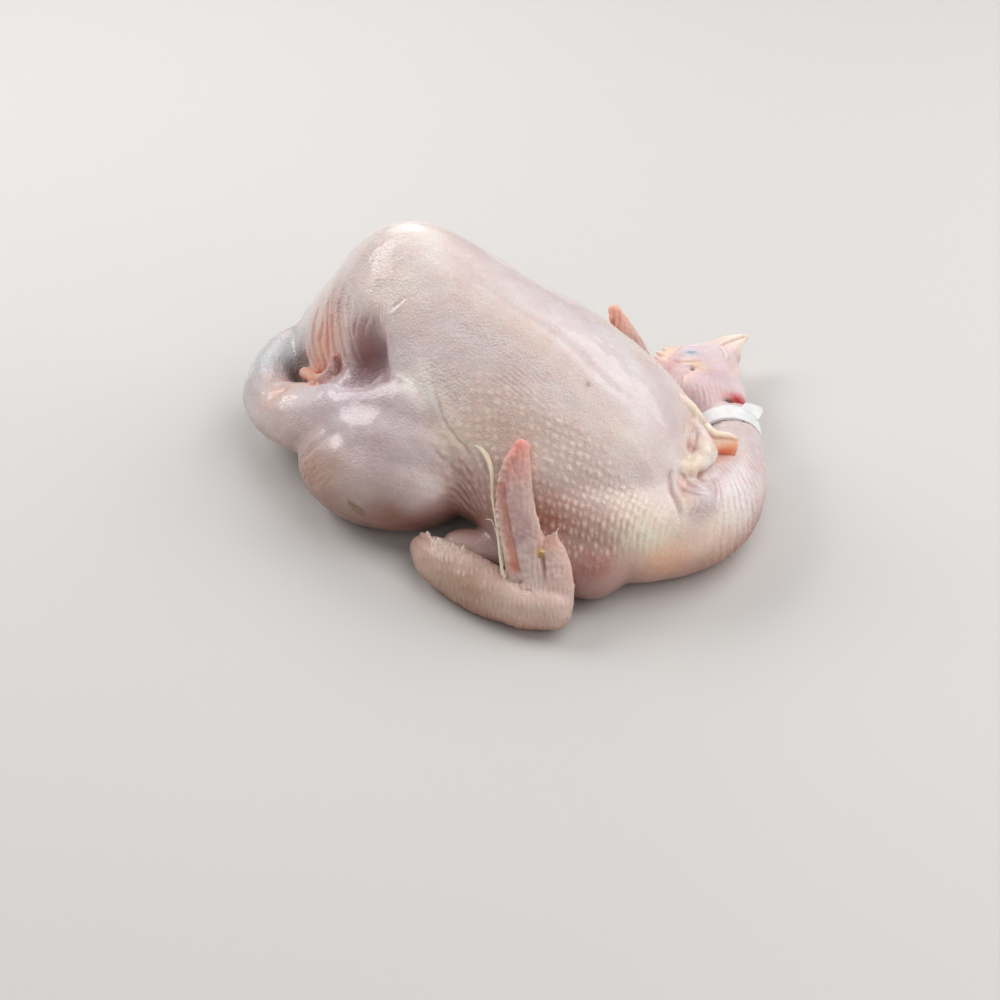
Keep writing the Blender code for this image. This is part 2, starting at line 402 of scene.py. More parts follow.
def melt(lofts, grain, rounds):
    """One closed skin round all the lofts, of quads a grain across, smoothed."""
    joined = bmesh.new()
    for points, faces in lofts:
        corners = [joined.verts.new(p) for p in ((points - SPINE) * MM).tolist()]
        for face in faces:
            joined.faces.new([corners[i] for i in face])
    bmesh.ops.recalc_face_normals(joined, faces=joined.faces)
    mesh = bpy.data.meshes.new("melt")
    joined.to_mesh(mesh)
    joined.free()
    made = placed("melt", mesh)
    remesh = made.modifiers.new("one skin", "REMESH")
    remesh.mode = "VOXEL"
    remesh.voxel_size = grain * MM
    soften = made.modifiers.new("soft", "SMOOTH")
    soften.factor = 0.5
    soften.iterations = rounds
    skin = Skin(*arrays(evaluated(made)), grain)
    bpy.data.objects.remove(made)
    return skin


STROKE_REACH = 4  # how far a stroke reaches to its sides, in radii
CREASE_SHIFT = 1.7  # from the line of a stroke to its crease, in radii
CREASE_WIDTH = 0.6
SHELF_EDGE = 1.2  # over which a shelf drops


class Skin:
    """A closed mesh of quads that is worked like clay: every stroke moves points along normals."""

    def __init__(self, points, quads, grain):
        self.grain = grain
        self.points = points
        self.quads = quads
        self.ends = np.vstack([quads[:, (i, (i + 1) % 4)] for i in range(4)])
        self.degree = np.bincount(self.ends[:, 0], minlength=len(points))
        self.settle()

    def settle(self):
        """Takes the normals of the shape as it now is."""
        p = self.points[self.quads]
        across = np.cross(p[:, 2] - p[:, 0], p[:, 3] - p[:, 1])
        total = np.zeros_like(self.points)
        for k in range(3):
            for c in range(4):
                total[:, k] += np.bincount(self.quads[:, c], across[:, k], len(self.points))
        self.normals = total / np.maximum(np.linalg.norm(total, axis=1), 1e-12)[:, None]

    def shell(self):
        """Vertices and faces, to be melted with more."""
        return self.points, self.quads.tolist()

    def average(self, values):
        """Each point's mean over its neighbours."""
        out = np.empty_like(values)
        for k in range(values.shape[1]):
            total = np.bincount(self.ends[:, 0], values[self.ends[:, 1], k], len(values))
            out[:, k] = total / np.maximum(self.degree, 1)
        return out

    def push(self, relief):
        """Raises the skin by relief, or lowers it."""
        self.points = self.points + self.normals * relief[:, None]
        self.settle()

    def along(self, places, reach, taper, profile):
        """The relief of a profile, of the distance to the right of a line of places."""
        curve = self.laid(places)
        index, gap, share, which = near(self.points, curve, reach)
        ways = np.gradient(curve, axis=0)
        out = self.points[index] - curve[which]
        side = np.sign((np.cross(ways[which], self.normals[index]) * out).sum(1))
        fade = smooth_step(0, taper, share) * smooth_step(0, taper, 1 - share)
        relief = np.zeros(len(self.points))
        relief[index] = fade * profile(side * gap)
        return relief

    def stroke(self, places, radius, height=1.0, crease=0.0, taper=0.4):
        """The relief of a fold or groove along the places, with a crease on its right side."""

        def profile(across):
            share = across / radius
            return height * bell(share) - crease * bell((share - CREASE_SHIFT) / CREASE_WIDTH)

        return self.along(places, STROKE_REACH * radius, taper, profile)

    def shelf(self, places, depth, reach):
        """The relief of a drop along the right side of the places that rises again over reach."""

        def profile(across):
            drop = smooth_step(-SHELF_EDGE / 2, SHELF_EDGE, across)
            return -depth * drop * bell(across / reach)

        return self.along(places, 2.5 * reach, 0.2, profile)

    def dents(self, table):
        """The relief of round dents, or of knobs where the depth is less than zero."""
        return -sum(depth * blob(self.points, place, radius) for place, radius, depth in table)

    def cavity(self, rounds):
        """How hollow the skin is at each point, in millimetres; less than zero on a bump."""
        mean = self.points
        for _ in range(rounds):
            mean = self.average(mean)
        return ((mean - self.points) * self.normals).sum(1)

    def laid(self, places, step=1.0):
        """A smooth curve through the places, on the skin."""
        curve = smooth_path(places, step)
        on_skin = np.array([self.tree.find(p)[0] for p in curve])
        steady = on_skin.copy()
        for _ in range(2):
            steady[1:-1] = (steady[:-2] + steady[1:-1] + steady[2:]) / 3
        return steady

    def sunk(self, places, depth):
        """The places moved onto the skin and then depth under it."""
        found = [self.tree.find(p)[1] for p in places]
        return self.points[found] - depth * self.normals[found]

    def cord(self, stations, inside):
        """A limb laid on the skin, sunk by a share of its radius."""
        rows = np.array(stations, float)
        spine = self.sunk(rows[:, :3], inside * rows[:, 3:4])
        return limb(np.column_stack((spine, rows[:, 3:])), step=1.2)

    @cached_property
    def tree(self):
        """Finds the nearest point of the skin, as it is when this is first asked for."""
        tree = KDTree(len(self.points))
        for i, p in enumerate(self.points):
            tree.insert(p, i)
        tree.balance()
        return tree


def bell(value):
    """1 at zero, and less on both sides of it."""
    return np.exp(-(value**2))


def smooth_step(low, high, value):
    """0 up to low, 1 from high on, and a smooth rise between them."""
    t = np.clip((value - low) / (high - low), 0, 1)
    return t * t * (3 - 2 * t)


def nearest(points, curve):
    """For each point, the nearest place of a curve and the distance to it."""
    best = np.full(len(points), 1e9)
    which = np.zeros(len(points), int)
    for k, place in enumerate(curve):
        far = ((points - place) ** 2).sum(1)
        closer = far < best
        best[closer] = far[closer]
        which[closer] = k
    return which, np.sqrt(best)


def near(points, curve, reach):
    """The points within reach of a curve: indices, distance, share along it, nearest place."""
    low = curve.min(0) - reach
    high = curve.max(0) + reach
    inside = np.flatnonzero(((points > low) & (points < high)).all(1))
    which, distance = nearest(points[inside], curve)
    close = distance < reach
    return inside[close], distance[close], which[close] / (len(curve) - 1), which[close]


def hashed(*cells, seed):
    """A steady pseudo-random number from 0 to 1 for each cell of whole numbers."""
    h = np.full(np.shape(cells[0]), seed * 374761393 + 668265263, np.uint64)
    for cell in cells:
        h = h ^ (cell.astype(np.int64).astype(np.uint64) + np.uint64(0x9E3779B9))
        h = h * np.uint64(0xBF58476D1CE4E5B9)
        h = h ^ (h >> np.uint64(27))
    h = h * np.uint64(0x94D049BB133111EB)
    return (h >> np.uint64(40)).astype(float) / float(1 << 24)


def clouds(points, size, seed):
    """Smooth noise from -1 to 1 with lumps about size across."""
    p = points / size
    cell = np.floor(p)
    t = p - cell
    t = t * t * (3 - 2 * t)
    total = np.zeros(len(points))
    for corner in itertools.product((0, 1), repeat=3):
        share = np.abs(1 - np.array(corner) - t).prod(axis=1)
        total += share * hashed(*(cell + corner).T, seed=seed)
    return total * 2 - 1


def lumps(points, *layers):
    """Clouds on top of each other: height, size and seed of each."""
    return sum(height * clouds(points, size, seed) for height, size, seed in layers)


def waves(distance, pitch):
    """Ridges from -1 to 1, a pitch apart."""
    return np.cos(2 * np.pi * distance / pitch)


def blob(points, place, reach):
    """1 at a place and less round it; the reach is one number or three."""
    return np.exp(-(((points - place) / np.array(reach)) ** 2).sum(1))


def dots(u, v, pitch_u, pitch_v, jitter, seed, stagger=0.5):
    """Distance to the nearest dot of a lattice, and that dot's random number."""
    best = np.full(np.shape(u), 1e9)
    chance = np.zeros(np.shape(u))
    row = np.floor(v / pitch_v)
    for dr in (-1, 0, 1):
        r = row + dr
        shift = stagger * (r % 2)
        column = np.floor(u / pitch_u - shift)
        for dc in (-1, 0, 1, 2):
            c = column + dc
            wobble_u = (hashed(c, r, seed=seed) - 0.5) * 2 * jitter
            wobble_v = (hashed(c, r, seed=seed + 1) - 0.5) * 2 * jitter
            gap = np.hypot(
                u - (c + shift + wobble_u) * pitch_u, v - (r + 0.5 + wobble_v) * pitch_v
            )
            closer = gap < best
            best = np.where(closer, gap, best)
            chance = np.where(closer, hashed(c, r, seed=seed + 2), chance)
    return best, chance


def round_limb(points, stations):
    """For each point: millimetres along a limb, angle round it, and distance in radii."""
    rows = smooth_path(stations, 2.0)
    spine = rows[:, :3]
    along = np.concatenate(([0], np.cumsum(np.linalg.norm(np.diff(spine, axis=0), axis=1))))
    which, _ = nearest(points, spine)
    ways = unit(np.gradient(spine, axis=0))
    out = points - spine[which]
    forward = (out * ways[which]).sum(1)
    across = unit(np.cross(ways[which], (0, 0, 1)))
    up = np.cross(across, ways[which])
    side = (out * across).sum(1)
    high = (out * up).sum(1)
    radii = np.hypot(side / rows[which, 3], high / rows[which, 4])
    return along[which] + forward, np.arctan2(high, side), radii


# ---------------------------------------------------------------- the body

GRAIN = 0.9
FLESH_GRAIN = 1.5  # of the lean body, before its pleats are laid on

# Loose belly skin that hangs in pleats down the left side to the rolled edge under them:
# places along the crest of each pleat, and its greatest radius.
PLEATS = (
    (((-108, -28, 57), (-101, -36, 52), (-97, -39, 48), (-88, -43, 48)), 2.2),
    (((-101, -25, 76), (-101, -29, 69), (-99, -34, 60), (-93, -39, 54), (-86, -43, 49)), 2.3),
    (((-93, -27, 84), (-91, -31, 77), (-91, -35, 70), (-90, -38, 63), (-85, -41, 57), (-80, -45, 51)), 2.5),
    (((-92, -26, 88), (-90, -29, 81), (-86, -35, 74), (-83, -40, 68), (-79, -43, 61), (-75, -46, 57)), 2.3),
    (((-90, -25, 92), (-88, -27, 85), (-83, -34, 80), (-80, -38, 73), (-75, -43, 67), (-68, -48, 62)), 2.0),
    (((-80, -26, 98), (-80, -30, 91), (-78, -35, 84), (-74, -40, 78), (-68, -45, 72), (-60, -50, 64)), 2.5),
    (((-73, -31, 96), (-71, -36, 89), (-67, -41, 84), (-61, -45, 78), (-56, -48, 71), (-51, -52, 63)), 2.5),
    (((-66, -34, 97), (-64, -38, 90), (-60, -42, 84), (-55, -45, 78), (-50, -48, 71)), 1.7),
)
PLEAT_GROWTH = (0.3, 0.75, 0.95, 1.0, 0.85)  # share of the radius at even steps along it
PLEAT_INSIDE = 0.45  # share of the radius that lies under the skin
BELLY_ROLL = (
    (-100, -35, 33, 2.5, 2.5),
    (-99.5, -38, 38, 3.2, 3.2),
    (-96.5, -42, 42.5, 3.5, 3.5),
    (-89, -46, 46, 3.2, 3.2),
    (-80, -50, 50, 3.2, 3.2),
    (-73, -52, 55, 3.0, 3.0),
    (-69, -51, 61, 2.5, 2.5),
    (-70, -48, 67, 1.6, 1.6),
)


# Hollows between the pleats and the thigh, and behind the shank: place, radius, depth.
HOLLOWS = (
    ((-47, -41, 90), 7, 3.5),
    ((-43, -47, 83), 8, 6),
    ((-40, -53, 76), 9, 8),
    ((-48, -56, 70), 8, 5),
    ((-102, -35, 40), 6, 5),
)


def body_skin():
    """Trunk, legs, neck and upper arms as one skin, with its pleats."""
    trunk = loft([trunk_ring(row) for row in smooth_path(TRUNK, 3.0)])
    lofts = [trunk] + [limb(s) for s in (TAIL, NECK, SHOULDER, BREAST_SIDE)]
    for leg in (THIGH, DRUMSTICK, KNEE, WEB):
        lofts += [limb(leg), limb(mirrored(leg))]
    flesh = melt(lofts, FLESH_GRAIN, rounds=28)
    flesh.push(flesh.dents(HOLLOWS))
    lofts = [flesh.shell(), limb(LEFT_ARM), limb(RIGHT_ARM)]
    for places, radius in PLEATS:
        share = np.linspace(0, len(PLEAT_GROWTH) - 1, len(places))
        widths = radius * np.interp(share, range(len(PLEAT_GROWTH)), PLEAT_GROWTH)
        lofts.append(flesh.cord([(*p, r, r) for p, r in zip(places, widths)], PLEAT_INSIDE))
    lofts += [limb(part, step=1.5) for part in (BELLY_ROLL, FAT, LIP)]
    return melt(lofts, GRAIN, rounds=3)


# Creases and ridges of the legs, the same on both sides: each is its places, radius, height,
# and, for some, the depth of the crease on its right.
LEG_FOLDS = (
    # the edge of thin skin from the flank over the knee, with the crease beside it
    (
        ((-20, -40, 96), (-10, -48, 86), (-4, -51, 82), (9, -56, 74), (20, -59, 67), (31, -62, 60)),
        5.0, 1.2,
    ),
    (
        ((-8, -44, 90), (5, -54, 78), (14, -58, 70), (25, -61, 64), (33, -62, 60), (46, -65, 46)),
        1.7, -1.5,
    ),
    # where the drumstick meets the belly
    (((-30, -52, 73), (-22, -54, 76), (-14, -56, 78), (-6, -56, 78)), 1.1, -0.8),
    # wrinkles at the hock
    (((-94, -72, 43), (-89, -68, 47), (-84, -64, 51)), 1.7, -1.0),
    (((-100, -66, 44), (-94, -62, 48), (-88, -58, 50)), 2.4, -0.4),
    (((-106, -60, 42), (-101, -56, 43), (-100, -50, 41), (-103, -42, 36)), 2.4, -0.7),
    # where the thigh meets the drumstick
    (
        ((-58, -90, 27), (-52, -89, 36), (-46, -86, 45), (-41, -82, 51), (-34, -80, 54), (-26, -78, 56)),
        2.2, -1.1,
    ),
    # skin drawn from the thigh down to the wing
    (((6, -66, 61), (18, -67, 56), (27, -66, 51), (35, -66, 45), (43, -67, 40)), 1.2, -0.8),
    (((16, -71, 51), (23, -69, 46), (29, -66, 41), (39, -67, 36), (45, -67, 35)), 1.1, -0.6),
    (((21, -63, 60), (28, -64, 56), (36, -65, 51), (43, -65, 46), (47, -66, 43)), 1.1, -0.8),
    (((24, -69, 43), (29, -66, 36), (37, -66, 32), (43, -67, 31)), 1.1, -0.7),
)
# The others, as they lie.
SKIN_FOLDS = (
    # a nick in the flank
    (((-33, -31, 107), (-34, -33, 105), (-36, -36, 102), (-39, -38, 98)), 1.2, 0.6, 0.6),
    # pleats that run out over the hollow
    (((-57, -38, 95), (-57, -41, 90), (-56, -44, 84), (-52, -46, 78)), 1.3, 0.8, 0.5),
    (((-50, -38, 97), (-50, -41, 92), (-50, -44, 87), (-48, -46, 82)), 1.2, 0.6, 0.4),
    (((-44, -37, 99), (-44, -41, 93), (-43, -44, 88), (-41, -47, 83)), 1.2, 0.5, 0.3),
    (((-38, -42, 93), (-35, -45, 88), (-33, -48, 82), (-31, -50, 77)), 1.6, 0.5, 0.3),
    # along the keel
    (
        (
            (-43, -8, 121),
            (-14, -4, 114),
            (13, -4, 107),
            (40, -2, 99),
            (67, -3, 87),
            (91, 0, 72),
            (104, 1, 61),
        ),
        3.0, -0.8,
    ),
)
# The opening where the neck leaves the breast: edges of skin, and the membrane between them.
OPENING_FOLDS = (
    # the edge of the breast's skin
    (
        ((108, 1, 55), (112, -4, 52), (117, -10, 49), (122, -13, 47), (126, -16, 43), (129, -18, 38)),
        1.8, 0.7, 1.6,
    ),
    # under the fat
    (((113, 31, 47), (118, 24, 47), (119, 17, 47), (119, 10, 47), (118, 5, 49)), 1.5, -1.6),
    # above it, where the skin of the breast turns in
    (((93, 33, 61), (98, 27, 61), (102, 20, 59), (105, 12, 57), (106, 6, 56)), 1.8, 0.4, 0.25),
    (((99, 29, 58), (102, 25, 58), (104, 20, 56)), 1.0, -0.4),
    # webs of thin skin drawn out across it
    (((110, 1, 54), (113, 1, 52), (117, 1, 50), (122, 1, 48), (127, 4, 46)), 1.0, 1.1, 0.3),
    (((110, -4, 53), (114, -4, 50), (119, -4, 48), (124, -3, 46), (128, 2, 45)), 0.9, 1.0, 0.35),
    (((124, -4, 46), (127, -9, 44), (129, -16, 40)), 0.7, 0.6, 0.2),
    (((119, 17, 44), (125, 12, 43), (130, 6, 43), (133, 0, 41), (133, -7, 39)), 0.9, 0.8, 0.3),
    # veins over the fat
    (((100, 26, 58), (103, 22, 57), (106, 19, 55)), 0.9, 0.5, 0.3),
    (((103, 29, 57), (105, 24, 57), (107, 20, 55)), 0.9, 0.4, 0.3),
)
OPENING_PATCHES = (
    ((100, 27, 59), (10, 8, 6), (238, 212, 202), 0.8),
    ((111, 18, 51), (9, 15, 9), (250, 232, 212), 0.95),
    ((112, 6, 48), (5, 6, 4), (240, 214, 176), 0.8),
    ((111, 4, 51), (6, 6, 4), (240, 214, 180), 0.8),
    ((105.5, 16.5, 53.5), (3.2, 4.2, 2.8), (204, 146, 138), 0.9),
    ((118, -5, 49), (5, 4.5, 5), (240, 196, 184), 0.95),
    ((122, -13, 47.5), (3, 3, 3.2), (222, 168, 80), 1.0),
    ((127, 0, 45), (7, 8, 6), (218, 200, 202), 0.9),
    ((127, -11, 43), (6, 6, 6), (216, 190, 186), 0.8),
    # painted shade in the small pit under the fat
    ((118, 8, 46), (2.4, 2.6, 2.4), (160, 92, 80), 0.9),
    ((126, 26, 38), (16, 18, 12), (238, 222, 222), 0.8),
    ((90, 39, 61), (14, 5, 7), (250, 226, 200), 0.9),
    ((113, 38, 42), (5, 8, 5), (226, 160, 126), 0.7),
)

# Granular skin that glints: places and reach.
WET_PLACES = (
    ((-42, -26, 106), (26, 18, 14)),
    ((-66, -14, 116), (22, 18, 14)),
    ((-78, -30, 90), (18, 14, 16)),
    ((-50, -58, 62), (42, 18, 20)),
    ((-112, -44, 42), (26, 26, 16)),
    ((20, -24, 98), (52, 8, 12)),
    ((-58, -88, 30), (16, 16, 18)),
    ((6, -48, 82), (20, 12, 12)),
)

# The pits and swellings of the opening, and the swelling of the thigh: place, radius, depth.
BODY_DENTS = (
    ((118, -6, 49), 4, 2.2),
    ((105.5, 16.5, 54), 3, 2.2),
    ((118, 9, 47), 2.4, 2.2),
    ((129, -1, 45), 6, -2),
    ((22, -74, 42), 9, -3),
)

# Where the belly drops behind the drumstick.
LEG_DROP = 5.5
LEG_DROP_REACH = 7
LEG_TOP = (
    (-20, -57, 77),
    (-30, -58, 74),
    (-40, -59, 71),
    (-52, -61, 66),
    (-62, -62, 61),
    (-75, -62, 54),
    (-88, -59, 49),
)


def folds(skin, table, mirror=False):
    """The relief of a table of folds, or of its mirror image."""
    relief = np.zeros(len(skin.points))
    for places, *shape in table:
        if mirror:
            places = np.array(places)[::-1] * (1, -1, 1)
        relief += skin.stroke(places, *shape)
    return relief


def keel_gap(points):
    """Millimetres down the breast's side from the keel, at each point."""
    rows = np.array(TRUNK, float)
    keel = np.interp(points[:, 0], rows[:, 0], rows[:, 2])
    return np.hypot(points[:, 1], keel - points[:, 2])


def sculpt_body(skin):
    """Works the large folds into the body's skin, then its grain."""
    skin.push(skin.shelf(LEG_TOP, LEG_DROP, LEG_DROP_REACH))
    relief = folds(skin, LEG_FOLDS) + folds(skin, LEG_FOLDS, mirror=True)
    relief += folds(skin, SKIN_FOLDS) + folds(skin, OPENING_FOLDS) + skin.dents(BODY_DENTS)
    relief += blob(skin.points, *FAT_AREA) * lumps(skin.points, (0.9, 5, 81), (0.3, 2.6, 82))
    skin.push(relief)
    skin.push(body_grain(skin))
    return skin


def to_left(points):
    """The points, with those of the right side moved to the same places on the left."""
    return points * (1, 0, 1) - np.abs(points) * (0, 1, 0)


def follicle_area(points):
    """Where feathers stood: the lower half of the breast's sides, down to the neck."""
    x, side, z = to_left(points).T
    down = keel_gap(points)
    inside = smooth_step(0, 26, x) * smooth_step(128, 108, x)
    inside *= smooth_step(30, 0, points[:, 1] * (x > 70))  # near the neck, the left side only
    inside *= smooth_step(26, 44, down + 0.25 * (x - 40)) * smooth_step(34, 50, z + 0.1 * x)
    return inside * smooth_step(-20, -34, side)


# Where the kinds of grain lie: place and reach.
OPENING_AREAS = (((112, 12, 52), (13, 22, 10)), ((104, 40, 48), (18, 12, 9)))
FAT_AREA = ((113, 15, 51), (7, 15, 7))
CORRUGATED = ((114, -40, 44), (15, 15, 12))
PLEATED = ((-48, -38, 96), (14, 12, 9))
STRETCHED = ((37, -33, 90), (13, 16, 10))
ROW_PITCH = 4.2  # between the rows of feather bumps, down the breast's side
ROW_SLOPE = 0.48  # how much the rows slant
BUMP_HEIGHT = 0.4
BUMP_GROWTH = 0.3  # how much taller the bumps are near the neck
CORRUGATION = 0.8  # height of the long ridges where the breast turns to the neck
NECK_PITCH = 3.6  # between the ridges across the neck
# Fine wrinkles on both sides: height, middle, reach, the way across them, pitch, how far
# they wander, and how patchy they are.
WRINKLES = (
    # drawn from the thigh to the wing
    (0.3, (36, -66, 40), (11, 9, 13), (0.7, 0, 0.7), 3.4, 0.6, 0),
    # round the back of the thigh
    (0.5, (-46, -92, 30), (18, 12, 16), (0.8, 0, -0.6), 3.2, 1, 1),
)


def body_grain(skin):
    """Feather bumps, kept as skin.bumps, and every finer unevenness of skin and flesh."""
    p = skin.points
    left = to_left(p)
    x = p[:, 0]
    down = keel_gap(left)
    warp = 1.6 * clouds(p, 26, seed=3)
    spread = np.log(np.clip(9 - 0.045 * x, 1, 20))  # the columns draw together to the neck
    column = -30 * spread - 0.1 * down + 0.135 * warp
    row = (down + ROW_SLOPE * x + warp) / ROW_PITCH
    opening = np.maximum(*(blob(p, *area) for area in OPENING_AREAS))
    calm = 1 - smooth_step(0.2, 0.55, opening)

    gap, chance = dots(column, row, 1, 1, jitter=0.2, seed=11, stagger=0)
    bumps = bell(gap / (0.2 + 0.16 * chance)) * (0.4 + 0.8 * chance)
    skin.bumps = bumps * follicle_area(p) * calm
    relief = (BUMP_HEIGHT + BUMP_GROWTH * smooth_step(50, 90, x)) * skin.bumps

    # long ridges, broken into beads lower down
    beads = smooth_step(0.3, 0.7, np.abs((row * 0.5) % 1 - 0.5) * 2)
    ridges = (0.5 + 0.5 * waves(column + 0.25, 1)) * (1 - 0.45 * beads)
    relief += CORRUGATION * blob(p, *CORRUGATED) * ridges

    # ridges across the neck, closest where it turns
    along, angle, radii = round_limb(p, NECK)
    neck = smooth_step(48, 66, along) * smooth_step(1.35, 1.1, radii) * calm
    fan = waves(along + 15 * np.cos(angle) + 0.8 * warp + 0.5 * clouds(p, 5, seed=6), NECK_PITCH)
    outer = smooth_step(0.2, 0.8, np.cos(angle))
    relief += (0.22 + 0.2 * outer) * neck * fan * (0.55 + 0.8 * clouds(p, 5, seed=5))

    # pleated skin that fans out over the hollow by the left thigh
    relief += 0.15 * blob(p, *PLEATED) * waves(p @ (1, 0, 0.25) + warp, 2.3)

    # thin lines stretched over the breast
    relief += 0.13 * blob(left, *STRETCHED) * waves(down + 0.05 * x + warp, 2.1)

    # wrinkles across the shank
    along, _, radii = round_limb(left, DRUMSTICK)
    shank = smooth_step(128, 150, along) * smooth_step(1.5, 1.2, radii)
    relief += 0.07 * shank * (1 + clouds(p, 8, seed=14)) * waves(along + 1.2 * warp, 2.8)

    for height, place, reach, across, pitch, wander, patchy in WRINKLES:
        fade = blob(left, place, reach) * (1 - patchy + patchy * clouds(p, 7, seed=18))
        relief += height * fade * waves(p @ across + wander * warp, pitch)

    # the unevenness of flesh under skin, most of all on the legs
    relief += lumps(p, (0.7, 22, 7), (0.28, 9, 8), (0.12, 3.6, 9))
    relief += 0.16 * wetness(p) * clouds(p, 2.0, seed=10)
    legs = smooth_step(20, -10, x) * smooth_step(-36, -52, left[:, 1])
    return relief + legs * lumps(p, (0.3, 12, 15), (0.14, 5, 16), (0.1, 2.6, 17))


DRIEST = 0.35  # how wet the skin is between the wet places


def wetness(points):
    """How wet and granular the skin is, 0 to 1."""
    p = to_left(points)
    wet = np.full(len(p), DRIEST)
    for place, reach in WET_PLACES:
        wet = np.maximum(wet, blob(p, place, reach))
    return wet * (0.75 + 0.35 * clouds(p, 11, seed=12))


# ---------------------------------------------------------------- colours


def linear(colour):
    """A colour of 0-255 as the shader takes it."""
    c = np.array(colour, float) / 255
    return np.where(c <= 0.04045, c / 12.92, ((c + 0.055) / 1.055) ** 2.4)


CREAM = (224, 206, 204)
YELLOWISH = (230, 206, 180)
MAUVE = (206, 188, 198)
ROSE = (208, 160, 154)
ORANGE_PINK = (232, 168, 138)
BLUISH = (206, 208, 212)
# painted shade, dark red, for the deep recess by the thigh
RECESS_SHADE_RED = (122, 38, 36)

# Patches of colour, among them painted light and painted shade: place, reach, colour, strength.
BODY_PATCHES = (
    ((-60, 0, 125), (34, 30, 20), (252, 236, 228), 0.85),
    # painted light on the upper flank
    ((-45, -30, 106), (22, 16, 12), (250, 230, 220), 0.8),
    ((40, 24, 92), (60, 26, 30), (232, 220, 222), 0.8),
    ((30, -14, 103), (60, 9, 16), YELLOWISH, 0.35),
    ((85, -18, 76), (26, 10, 16), YELLOWISH, 0.35),
    ((-30, -62, 60), (46, 22, 24), MAUVE, 0.85),
    ((-50, -62, 62), (20, 12, 10), (232, 220, 228), 0.8),
    # painted light on the web of skin above the leg
    ((-4, -52, 79), (16, 8, 9), (250, 240, 230), 0.9),
    ((20, -60, 66), (18, 8, 10), (242, 226, 212), 0.7),
    # painted shade on the thigh's side and underneath it, and in the gap by the knee
    ((-30, -84, 26), (34, 20, 20), (174, 136, 122), 0.8),
    ((-40, -92, 34), (20, 14, 12), (184, 138, 112), 0.75),
    ((6, -86, 24), (18, 12, 12), (146, 92, 72), 0.85),
    ((-10, -82, 12), (54, 28, 14), (148, 94, 72), 0.9),
    ((34, -66, 24), (16, 14, 12), (168, 112, 98), 0.7),
    ((34, -66, 42), (12, 8, 14), (228, 188, 176), 0.6),
    # painted light on the knee's swelling
    ((22, -74, 43), (12, 9, 10), (252, 240, 244), 1.0),
    ((-118, -36, 40), (26, 32, 24), BLUISH, 0.95),
    # painted shade on the hock's left side
    ((-104, -64, 32), (18, 18, 22), (192, 182, 184), 0.8),
    ((-89, -68, 47), (5, 5, 5), (206, 136, 98), 0.7),
    ((-90, -66, 40), (16, 14, 14), (226, 196, 184), 0.6),
    ((-98, -52, 42), (9, 9, 8), ROSE, 0.6),
    # painted shade inside the shank and in the hollow behind it
    ((-110, -32, 43), (7, 9, 9), (134, 126, 128), 0.85),
    ((-107, -34, 35), (6, 7, 6), (104, 66, 62), 0.9),
    ((-84, -40, 62), (22, 16, 24), ORANGE_PINK, 0.75),
    ((-86, -46, 46), (16, 10, 7), (236, 164, 130), 0.8),
    ((-78, -47, 49), (9, 7, 5), (206, 116, 70), 0.6),
    # painted shade, dark red, in the deep recess by the thigh
    ((-45, -50, 77), (13, 12, 14), RECESS_SHADE_RED, 1.0),
    ((-48, -45, 85), (11, 9, 12), (168, 116, 112), 0.7),
    ((50, -50, 74), (34, 18, 18), (222, 190, 172), 0.4),
    # painted shade under the breast, in the armpit and on the shoulder
    ((60, -58, 36), (38, 20, 16), (150, 86, 66), 0.9),
    ((82, -58, 47), (20, 11, 9), (176, 106, 80), 0.8),
    ((106, -60, 28), (14, 13, 10), (168, 100, 86), 0.7),
    ((96, -52, 24), (28, 26, 16), (164, 98, 88), 0.9),
    ((94, -60, 6), (24, 18, 10), (140, 74, 58), 0.9),
    # painted light where the breast turns to the neck, and on the neck
    ((120, -36, 40), (18, 16, 14), (255, 240, 220), 0.95),
    ((128, -29, 24), (14, 18, 10), (255, 200, 160), 0.8),
    ((136, -6, 29), (16, 20, 13), (255, 232, 214), 0.9),
    # painted shade under the neck
    ((134, 10, 12), (26, 38, 14), (188, 122, 88), 0.85),
)


EDGE_WANDER = 3  # how far the edges of patches stray
EDGE_LUMPS = 15  # and over what length
UNDERSIDE_SHADE_TINT = (0.76, 0.58, 0.5)  # painted shade with a painted warm reflection: what the skin's undersides keep of red, green and blue
UNDERSIDE_SHADE_SHARE = 0.8
HOLLOW_SHADE_TINT = 1.1 * linear(ROSE)  # painted shade, darker and redder: what the skin keeps in its hollows
MOST_HOLLOW_SHADE = 0.7  # the share of the painted shade in the deepest ones
RIDGE_DEPTH = 1.6  # how fast ridges get paler with their height
MOST_RIDGE = 0.5  # the share of the paler colour on the highest ones
RIDGE_GAIN = 1.18
RIDGE_LIFT = 0.03
PALEST = 0.9
FOLLICLE_TINT = (0.98, 0.92, 0.82)  # what the skin between the feather bumps keeps
BLUSH_TINT = (0.5, 1.0, 1.05)  # how much of each its mottling takes


def blend(colours, share, colour):
    """The colours moved towards another by a share, which may differ from point to point."""
    return colours + np.reshape(share, (-1, 1)) * (colour - colours)


def dabbed(colours, points, dabs):
    """The colours with soft dabs on them: place, reach, colour and strength of each."""
    for place, reach, colour, strength in dabs:
        share = np.clip(strength * blob(points, place, reach), 0, 1)
        colours = blend(colours, share, linear(colour))
    return colours


